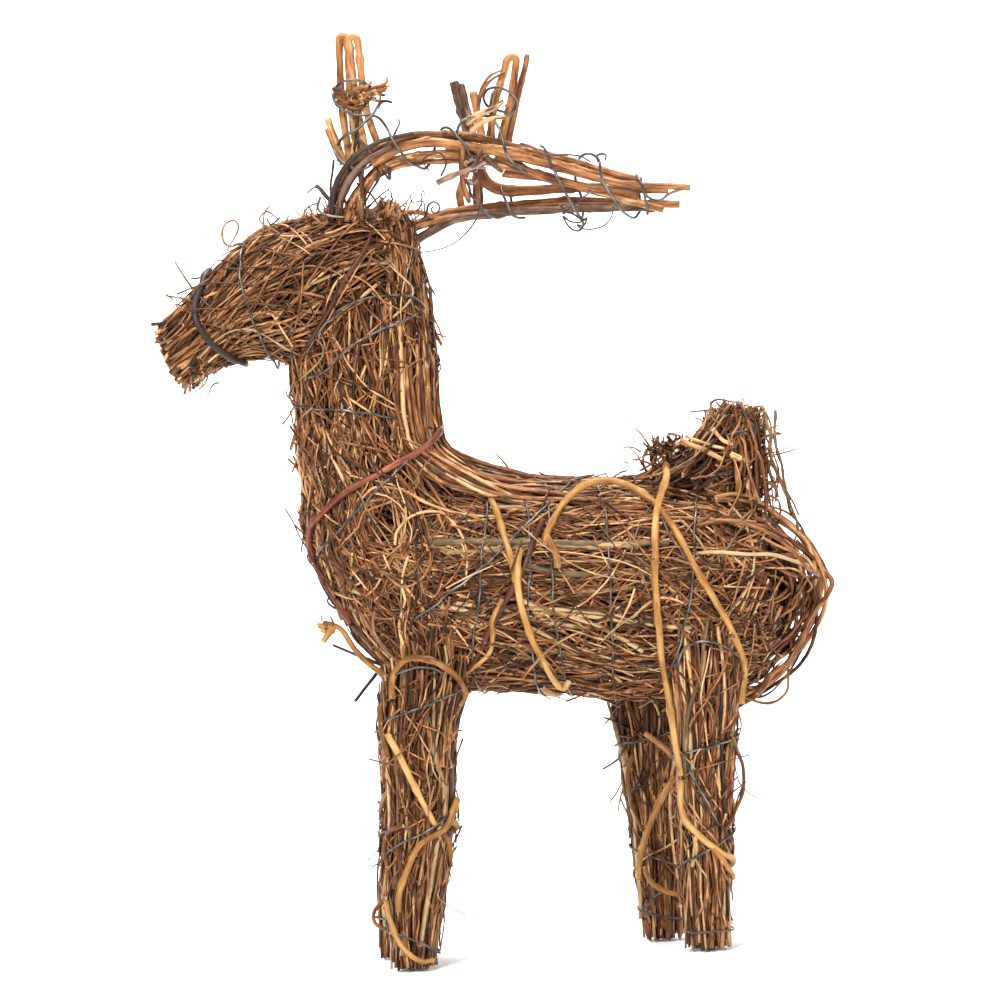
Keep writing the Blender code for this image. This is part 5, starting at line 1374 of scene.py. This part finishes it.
LEG_STRANDS = {
    "front_left": [
        ([(-44.9, 108.0), (-44.6, 114.9), (-42.2, 120.4), (-38.8, 123.0), (-34.0, 123.4),
          (-26.1, 121.0), (-19.8, 114.8), (-16.8, 107.8), (-18.4, 103.4)], 1.4, 0.22),
        ([(-50.5, 104.9), (-50.4, 94.1), (-48.2, 84.7)], 1.3, 0.35),
        ([(-48.0, 93.9), (-43.5, 84.4), (-37.6, 70.3), (-31.7, 57.9)], 1.35, 0.85),
        ([(-22.9, 66.6), (-27.8, 56.4), (-37.8, 50.3), (-43.6, 41.5), (-48.0, 31.0), (-48.5, 24.6)],
         1.4, 0.45),
        ([(-30.6, 56.6), (-27.2, 49.6), (-26.8, 40.3)], 1.1, 0.15),
        ([(-53.6, 29.0), (-52.2, 20.9), (-48.0, 10.9), (-41.0, 4.4), (-36.1, 4.1)], 1.15, 0.6),
        ([(-44.5, 57.6), (-49.8, 55.9), (-52.4, 50.1), (-51.9, 42.1)], 0.9, 0.0),
        ([(-53.0, 29.6), (-58.0, 24.6), (-58.0, 19.3), (-52.4, 16.1)], 0.9, 0.05),
    ],
    "front_right": [],
    "rear_left": [
        ([(65.7, 68.1), (65.2, 55.3), (70.2, 47.0), (77.8, 40.0), (84.6, 35.5)], 1.4, 0.66),
        ([(75.8, 41.6), (80.2, 34.8), (83.8, 28.0)], 1.2, 0.6),
        ([(86.4, 84.7), (87.4, 80.7), (90.3, 70.4), (88.7, 58.5), (81.1, 47.0)], 0.8, 0.0),
    ],
    "rear_right": [
        ([(53.6, 85.8), (60.1, 80.5), (64.9, 74.2)], 1.2, 0.4),
        ([(64.4, 68.0), (56.4, 55.9), (50.8, 44.3), (47.9, 34.1), (47.2, 27.3)], 1.3, 0.5),
        ([(49.2, 32.4), (51.6, 27.0), (56.5, 22.6), (65.9, 19.2)], 1.1, 0.5),
        ([(47.9, 77.4), (45.5, 69.6), (45.9, 58.7), (49.8, 47.1)], 0.8, 0.0),
    ],
}
LOWEST_VINE = 1.8

# The turn of vine behind each leg: (height, angle)

LEG_TURNS = {
    "front_left": [(57.9, 150), (52, 215), (44, 280), (34, 330), (29, 356)],
    "front_right": [(104, -60), (92, -150), (80, -240), (66, -330), (50, -420), (34, -510), (18, -590)],
    "rear_left": [(35.5, 150), (32, 210), (24, 290), (18, 350)],
    "rear_right": [(64, 110), (56, 190), (48, 270), (38, 340)],
}


def make_vines():
    """The vines that bind the body and the legs."""
    seed = 150
    for name, (slot, finish, strands) in body_vines().items():
        seed += 1
        bundle = Bundle(name + "_strand", seed)
        for path, radius, tone in strands:
            vine(bundle, path, radius, tone, (1.0, 0.9), nodes_every=34.0, wobble=0.4)
        bundle.build(finish, [name])
    for name, strands in LEG_STRANDS.items():
        seed += 1
        bundle = Bundle(name + "_leg_vine_strand", seed)
        paths = [(face([legs[name]], points, 1.5), radius, tone) for points, radius, tone in strands]
        paths.append((wrap(legs[name], LEG_TURNS[name], VINE_LIFT - 1.0, 6), 1.15, 0.45))
        for path, radius, tone in paths:
            path[:, 2] = np.maximum(path[:, 2], LOWEST_VINE)
            vine(bundle, path, radius, tone, (1.0, 0.85), nodes_every=34.0, wobble=0.4)
        bundle.build(golden_bark, [name + "_leg_vine"])


# Wires on the antlers, each through points in front of and behind the strands

LEFT_ANTLER_WIRE = [
    [(-51.7, -8.2, 351.6), (-48.5, -11.2, 352.5), (-43.6, -12.0, 353.0), (-39.3, -10.5, 351.1),
     (-38.2, -6.5, 349.8), (-41.9, -2.8, 349.3), (-47.9, -1.6, 349.3), (-52.6, -3.5, 349.0),
     (-53.2, -8.0, 347.2), (-51.1, -10.4, 342.7), (-47.3, -11.2, 340.0), (-41.8, -12.0, 338.8),
     (-36.6, -13.4, 337.7), (-32.9, -17.5, 333.4), (-30.9, -20.8, 328.1), (-27.3, -22.0, 321.8),
     (-24.0, -20.2, 317.6), (-19.3, -16, 315.7), (-16.3, -11.0, 318.3), (-13.9, -9.6, 324.9),
     (-11.6, -12.0, 330.0), (-8.7, -18, 331.0), (-5.3, -21.6, 327.5), (-2.3, -22.2, 323.3),
     (0.1, -20.0, 317.6), (2.0, -15, 315.0)],
    [(-52.8, -7, 327.9), (-50.2, -10.5, 330.6), (-43.7, -12.5, 334.2), (-38.6, -13.0, 338.2),
     (-35.6, -11.5, 341.6), (-33.4, -10, 343.9), (-30.2, -7, 343.7)],
    [(-54.4, -8, 326.8), (-53.4, -12, 323.9), (-50.6, -15.5, 319.8), (-44.8, -18.0, 316.4),
     (-40.1, -17, 318.2), (-37.9, -11, 322.0)],
    [(-5.7, -19.5, 326.8), (-3.8, -20.5, 331.6), (-0.5, -21, 333.6), (4.4, -19.5, 334.5),
     (10.4, -16.5, 334.5), (16.1, -12.5, 334.9), (18.4, -8, 336.8), (14.8, -5.0, 339.4)],
    [(14.4, -12.5, 345.4), (17.6, -11.0, 343.3), (19.4, -8, 340.4), (17.0, -5.5, 336.8),
     (12.7, -5, 337.5), (8.0, -7, 339.4), (6.6, -11.5, 342.3), (8.6, -13.6, 345.4),
     (13.2, -13.6, 345.9), (9.8, -13.9, 343.3), (8.7, -16, 337.8), (10.1, -19.0, 332.8),
     (12.7, -21.5, 326.3), (13.8, -21.9, 319.0), (17.5, -20.0, 314.0), (22.1, -13, 310.8)],
]
RIGHT_ANTLER_WIRE = [
    [(-3.1, 1, 312.2), (-2.1, 0.6, 308.9), (-0.1, 3.4, 303.9), (3.7, 5.5, 298.6), (8.8, 7.8, 296.0),
     (13.8, 13, 298.0), (15.0, 15, 303.0), (13.2, 12.5, 307.8), (11.0, 8, 308.8), (11.7, 5.2, 305.5),
     (13.0, 4.2, 300.6), (15.2, 6, 296.0), (20.0, 11, 295.6)],
]
ANTLER_TIP_WIRE = [
    [(27.6, -10, 322.3), (29.4, -16.6, 319.8), (31.8, -17.4, 312.2), (34.6, -16.4, 306.0),
     (38.1, -10.5, 299.0), (41.4, -5.5, 293.0), (43.0, 0.5, 293.4), (43.2, 9.0, 300.2),
     (41.6, 9.5, 308.4), (41.8, 4.0, 315.6), (45.4, -3, 318.0), (48.9, -10, 316.6),
     (50.3, -14.8, 313.7), (51.1, -15.0, 306.9), (54.2, -13.6, 300.6), (58.7, -8.5, 293.6),
     (63.8, -2, 291.8), (66.4, 5.5, 296.6), (66.4, 8.6, 302.6), (65.1, 4.5, 307.3),
     (65.2, -4, 308.6), (65.9, -11.0, 306.2), (67.1, -11.8, 301.7), (68.0, -10.0, 296.6),
     (68.7, -4, 292.6)],
    [(66.7, -11.5, 301.8), (70.1, -11.2, 297.9), (74.1, -10.8, 297.3), (78.2, -10.3, 299.8),
     (82.7, -10, 301.1)],
]

# Wire loops on each leg: (height in front, height behind)

LEG_LOOPS = {
    "front_left": [(97, 111), (45, 64), (20, 6)],
    "front_right": [(92, 100), (50, 62), (17.5, 15)],
    "rear_left": [(77, 84), (33, 47), (8.5, 8)],
    "rear_right": [(80, 86), (40, 28), (14, 8)],
}

# The wire wound along the barrel: (station, angle)

BARREL_WIRE = [
    (-1, 0), (-3.1, 45), (-6.5, 75), (-9, 100), (-13, 140), (-4, 220), (2, 290), (8.6, 360),
    (12.3, 400), (12.4, 435), (10.1, 463), (12, 520), (16, 590), (18, 650), (20, 720), (20.8, 757),
    (20.5, 800), (20.1, 820), (23.1, 865), (30, 950), (34, 1010), (39.3, 1080), (42.9, 1126),
    (43.2, 1155), (42.5, 1176), (41.9, 1216), (42.6, 1250),
]


def wire_paths():
    """Every wire, as a list of lines."""
    haunch = [barrel, legs["rear_left"]]
    paths = {
        "head_wire": [wrap(head, [(-86, 0), (-92, 60), (-92.4, 90), (-91, 130), (-88, 180), (-88, 270),
                                  (-86, 355)], WIRE_LIFT)],
        "neck_wire": [face([neck, head], [(-70.0, 236.0), (-64.3, 237.7), (-57.9, 242.9), (-52.9, 247.0),
                                          (-44.1, 251.2), (-33.0, 255.3), (-24.0, 259.3),
                                          (-22.8, 262.0), (-26.5, 265.2), (-34.3, 266.2),
                                          (-43.1, 266.0), (-54.6, 262.3), (-62.0, 257.0),
                                          (-70.0, 246.0)], WIRE_LIFT),
                      wrap(neck, [(227, 0), (224, 45), (221.6, 80), (217.6, 115), (211.7, 165),
                                  (212, 230), (220, 300), (227, 358)], WIRE_LIFT)],
        "barrel_wire": [wrap(barrel, BARREL_WIRE, WIRE_LIFT)],
        "shoulder_wire": [wrap(barrel, [(42, -30), (36, 5), (20, 42), (6, 64), (-8, 82), (-24, 98),
                                        (-36, 112)], WIRE_LIFT + 0.4),
                          wrap(barrel, [(84, -20), (82.1, 15), (78.8, 40), (74.4, 88), (69.1, 114),
                                        (65.9, 141)], WIRE_LIFT + 0.4),
                          face(haunch, [(64.5, 172.0), (67.1, 166.2), (73.5, 153.8), (79.7, 144.1),
                                        (83.8, 134.2)], WIRE_LIFT),
                          face(haunch, [(66.5, 112.0), (70.0, 119.9), (78.2, 122.2), (86.0, 119.6),
                                        (91.7, 114.4)], WIRE_LIFT),
                          face([neck, chest, barrel], [(-20.5, 211.0), (-37.0, 197.4), (-49.8, 186.2),
                                                       (-62.6, 174.3), (-71.5, 166.5)], WIRE_LIFT + 0.6),
                          smooth([(-9.1, -9, 191.2), (-7.6, -10, 195.0), (-3.1, -11, 195.2),
                                  (2.7, -12, 192.0), (5.7, -15, 187.4)], 8)],
        "tail_wire": [wrap(tail, [(186, 60), (190, 150), (194, 260), (199, 370), (204, 480),
                                  (208, 600)], 2.6),
                      smooth([(88.6, -4, 208.9), (88.5, -5, 214.9), (91.8, -6, 216.6),
                              (96.6, -7, 215.8), (99.7, -8.5, 214.1), (102.3, -10, 208.2),
                              (105.4, -11, 203.0), (103.0, -12, 199.0)], 8)],
        "left_antler_wire": [smooth(points, 8) for points in LEFT_ANTLER_WIRE],
        "right_antler_wire": [smooth(points, 8) for points in RIGHT_ANTLER_WIRE],
        "antler_tip_wire": [smooth(points, 8) for points in ANTLER_TIP_WIRE],
    }
    for name, loops in LEG_LOOPS.items():
        body = legs[name]
        paths[name + "_leg_wire"] = [
            wrap(body, [(low, 0), (0.5 * (low + high), 90), (high, 180), (0.5 * (low + high), 270),
                        (low, 355)], WIRE_LIFT) for low, high in loops]
    paths["front_left_leg_wire"].append(face([legs["front_left"]], [(-43.7, 116.9), (-36.2, 119.6),
                                                                    (-28.2, 119.0), (-23.7, 115.3)], 1.6))
    paths["rear_left_leg_wire"].append(face([legs["rear_left"]], [(66.5, 78.0), (68.8, 73.1), (72.6, 64.0),
                                                                  (78.9, 50.4)], 1.4))
    paths["rear_right_leg_wire"].append(face([legs["rear_right"]], [(47.2, 14.8), (51.1, 18.5),
                                                                    (56.1, 21.5)], 1.4))
    return paths


def make_wires():
    """One bundle of lines for each wire."""
    for seed, (name, lines) in enumerate(wire_paths().items()):
        bundle = Bundle(name + "_strand", 170 + seed)
        for path in lines:
            path = resample(path, 1.0)
            path = path + 0.16 * np.stack([waves(bundle.rng, 1, len(path), len(path) / 14.0)[0]
                                           for _ in range(3)], axis=-1)
            bundle.add(path, ANTLER_WIRE_RADIUS if "antler" in name else WIRE_RADIUS, 0.5, sides=8,
                       rough=0.02)
        bundle.build(wire_finish, [name])


# Stage, lights and camera, in metres

FLOOR_FRONT = -2.2
FLOOR_BACK = 0.9
BEND_RADIUS = 0.6
WALL_HEIGHT = 2.6
SWEEP_HALF_WIDTH = 2.4


def make_stage():
    """A white floor that curves up into a backdrop."""
    profile = [(FLOOR_FRONT, 0.0), (FLOOR_BACK, 0.0)]
    profile += [(FLOOR_BACK + BEND_RADIUS * math.sin(turn), BEND_RADIUS - BEND_RADIUS * math.cos(turn))
                for turn in np.radians(np.arange(7.5, 90.1, 7.5))]
    profile += [(FLOOR_BACK + BEND_RADIUS, WALL_HEIGHT)]
    places = [(side * SWEEP_HALF_WIDTH, y, z) for y, z in profile for side in (-1, 1)]
    faces = [(2 * row, 2 * row + 1, 2 * row + 3, 2 * row + 2) for row in range(len(profile) - 1)]
    mesh = bpy.data.meshes.new("sweep")
    mesh.from_pydata(places, [], faces)
    mesh.shade_smooth()
    sweep = bpy.data.objects.new("sweep", mesh)
    bpy.context.scene.collection.objects.link(sweep)
    material, tree, shader = new_material("white_paper")
    place = add_node(tree, "ShaderNodeTexCoord").outputs["Object"]
    fibres = noise(tree, place, 600.0, detail=4.0)
    tree.links.new(ramp(tree, fibres, [(0.3, (0.93, 0.93, 0.94)), (0.7, (0.96, 0.96, 0.96))]),
                   shader.inputs["Base Color"])
    shader.inputs["Roughness"].default_value = 0.9
    shader.inputs["Specular IOR Level"].default_value = 0.1
    mesh.materials.append(material)


def look_rotation(back, upward):
    """The rotation of a camera or lamp whose back and rough up directions are given."""
    right = unit(np.cross(upward, back))
    upward = np.cross(back, right)
    return Matrix([(right[row], upward[row], back[row]) for row in range(3)])


WORLD_STRENGTH = 0.2
LIGHT_TARGET = (0.0, 0.0, 0.18)
BACKDROP_TARGET = (0.0, 1.2, 0.2)
# Soft round lamps: name, place, size, watts, target
LIGHTS = [
    ("key", (-0.5, -1.4, 1.2), 0.4, 43.0, LIGHT_TARGET),
    ("fill", (1.2, -1.2, 0.5), 0.9, 13.0, LIGHT_TARGET),
    ("top", (0.2, 0.1, 1.6), 0.8, 20.0, LIGHT_TARGET),
    ("backdrop", (0.0, 0.35, 1.9), 1.6, 70.0, BACKDROP_TARGET),
]


def make_lights():
    """An even white world and the lamps."""
    world = bpy.data.worlds.new("studio")
    bpy.context.scene.world = world
    world.use_nodes = True
    background = world.node_tree.nodes["Background"]
    background.inputs["Color"].default_value = (1.0, 1.0, 1.0, 1.0)
    background.inputs["Strength"].default_value = WORLD_STRENGTH
    for name, place, size, power, target in LIGHTS:
        light = bpy.data.lights.new(name, "AREA")
        light.shape = "DISK"
        light.size = size
        light.energy = power
        lamp = bpy.data.objects.new(name, light)
        bpy.context.scene.collection.objects.link(lamp)
        back = unit(np.array(place) - np.array(target))
        lamp.location = place
        lamp.rotation_euler = look_rotation(back, np.array([0.0, 0.0, 1.0])).to_euler()


CAMERA_ROLL = 3.9           # degrees
CAMERA_TARGET = (0.0021, 0.0, 0.1827)
CAMERA_DISTANCE = 1.5
CAMERA_LENS = 135.0          # millimetres
SENSOR_WIDTH = 36.0


def make_camera():
    """A long lens square to the figure's left side."""
    camera = bpy.data.objects.new("camera", bpy.data.cameras.new("camera"))
    bpy.context.scene.collection.objects.link(camera)
    camera.data.lens = CAMERA_LENS
    camera.data.sensor_width = SENSOR_WIDTH
    camera.data.clip_start = 0.05
    camera.data.clip_end = 20.0
    x, y, z = CAMERA_TARGET
    camera.location = (x, y - CAMERA_DISTANCE, z)
    roll = math.radians(CAMERA_ROLL)
    upward = np.array([math.sin(roll), 0.0, math.cos(roll)])
    camera.rotation_euler = look_rotation(np.array([0.0, -1.0, 0.0]), upward).to_euler()
    bpy.context.scene.camera = camera


make_camera()
make_stage()
make_lights()
make_barrel()
make_chest()
make_chest_ends()
make_neck()
make_head()
make_legs()
make_rump()
make_tail()
make_antlers()
make_vines()
make_wires()

bpy.context.scene.view_settings.view_transform = "Standard"
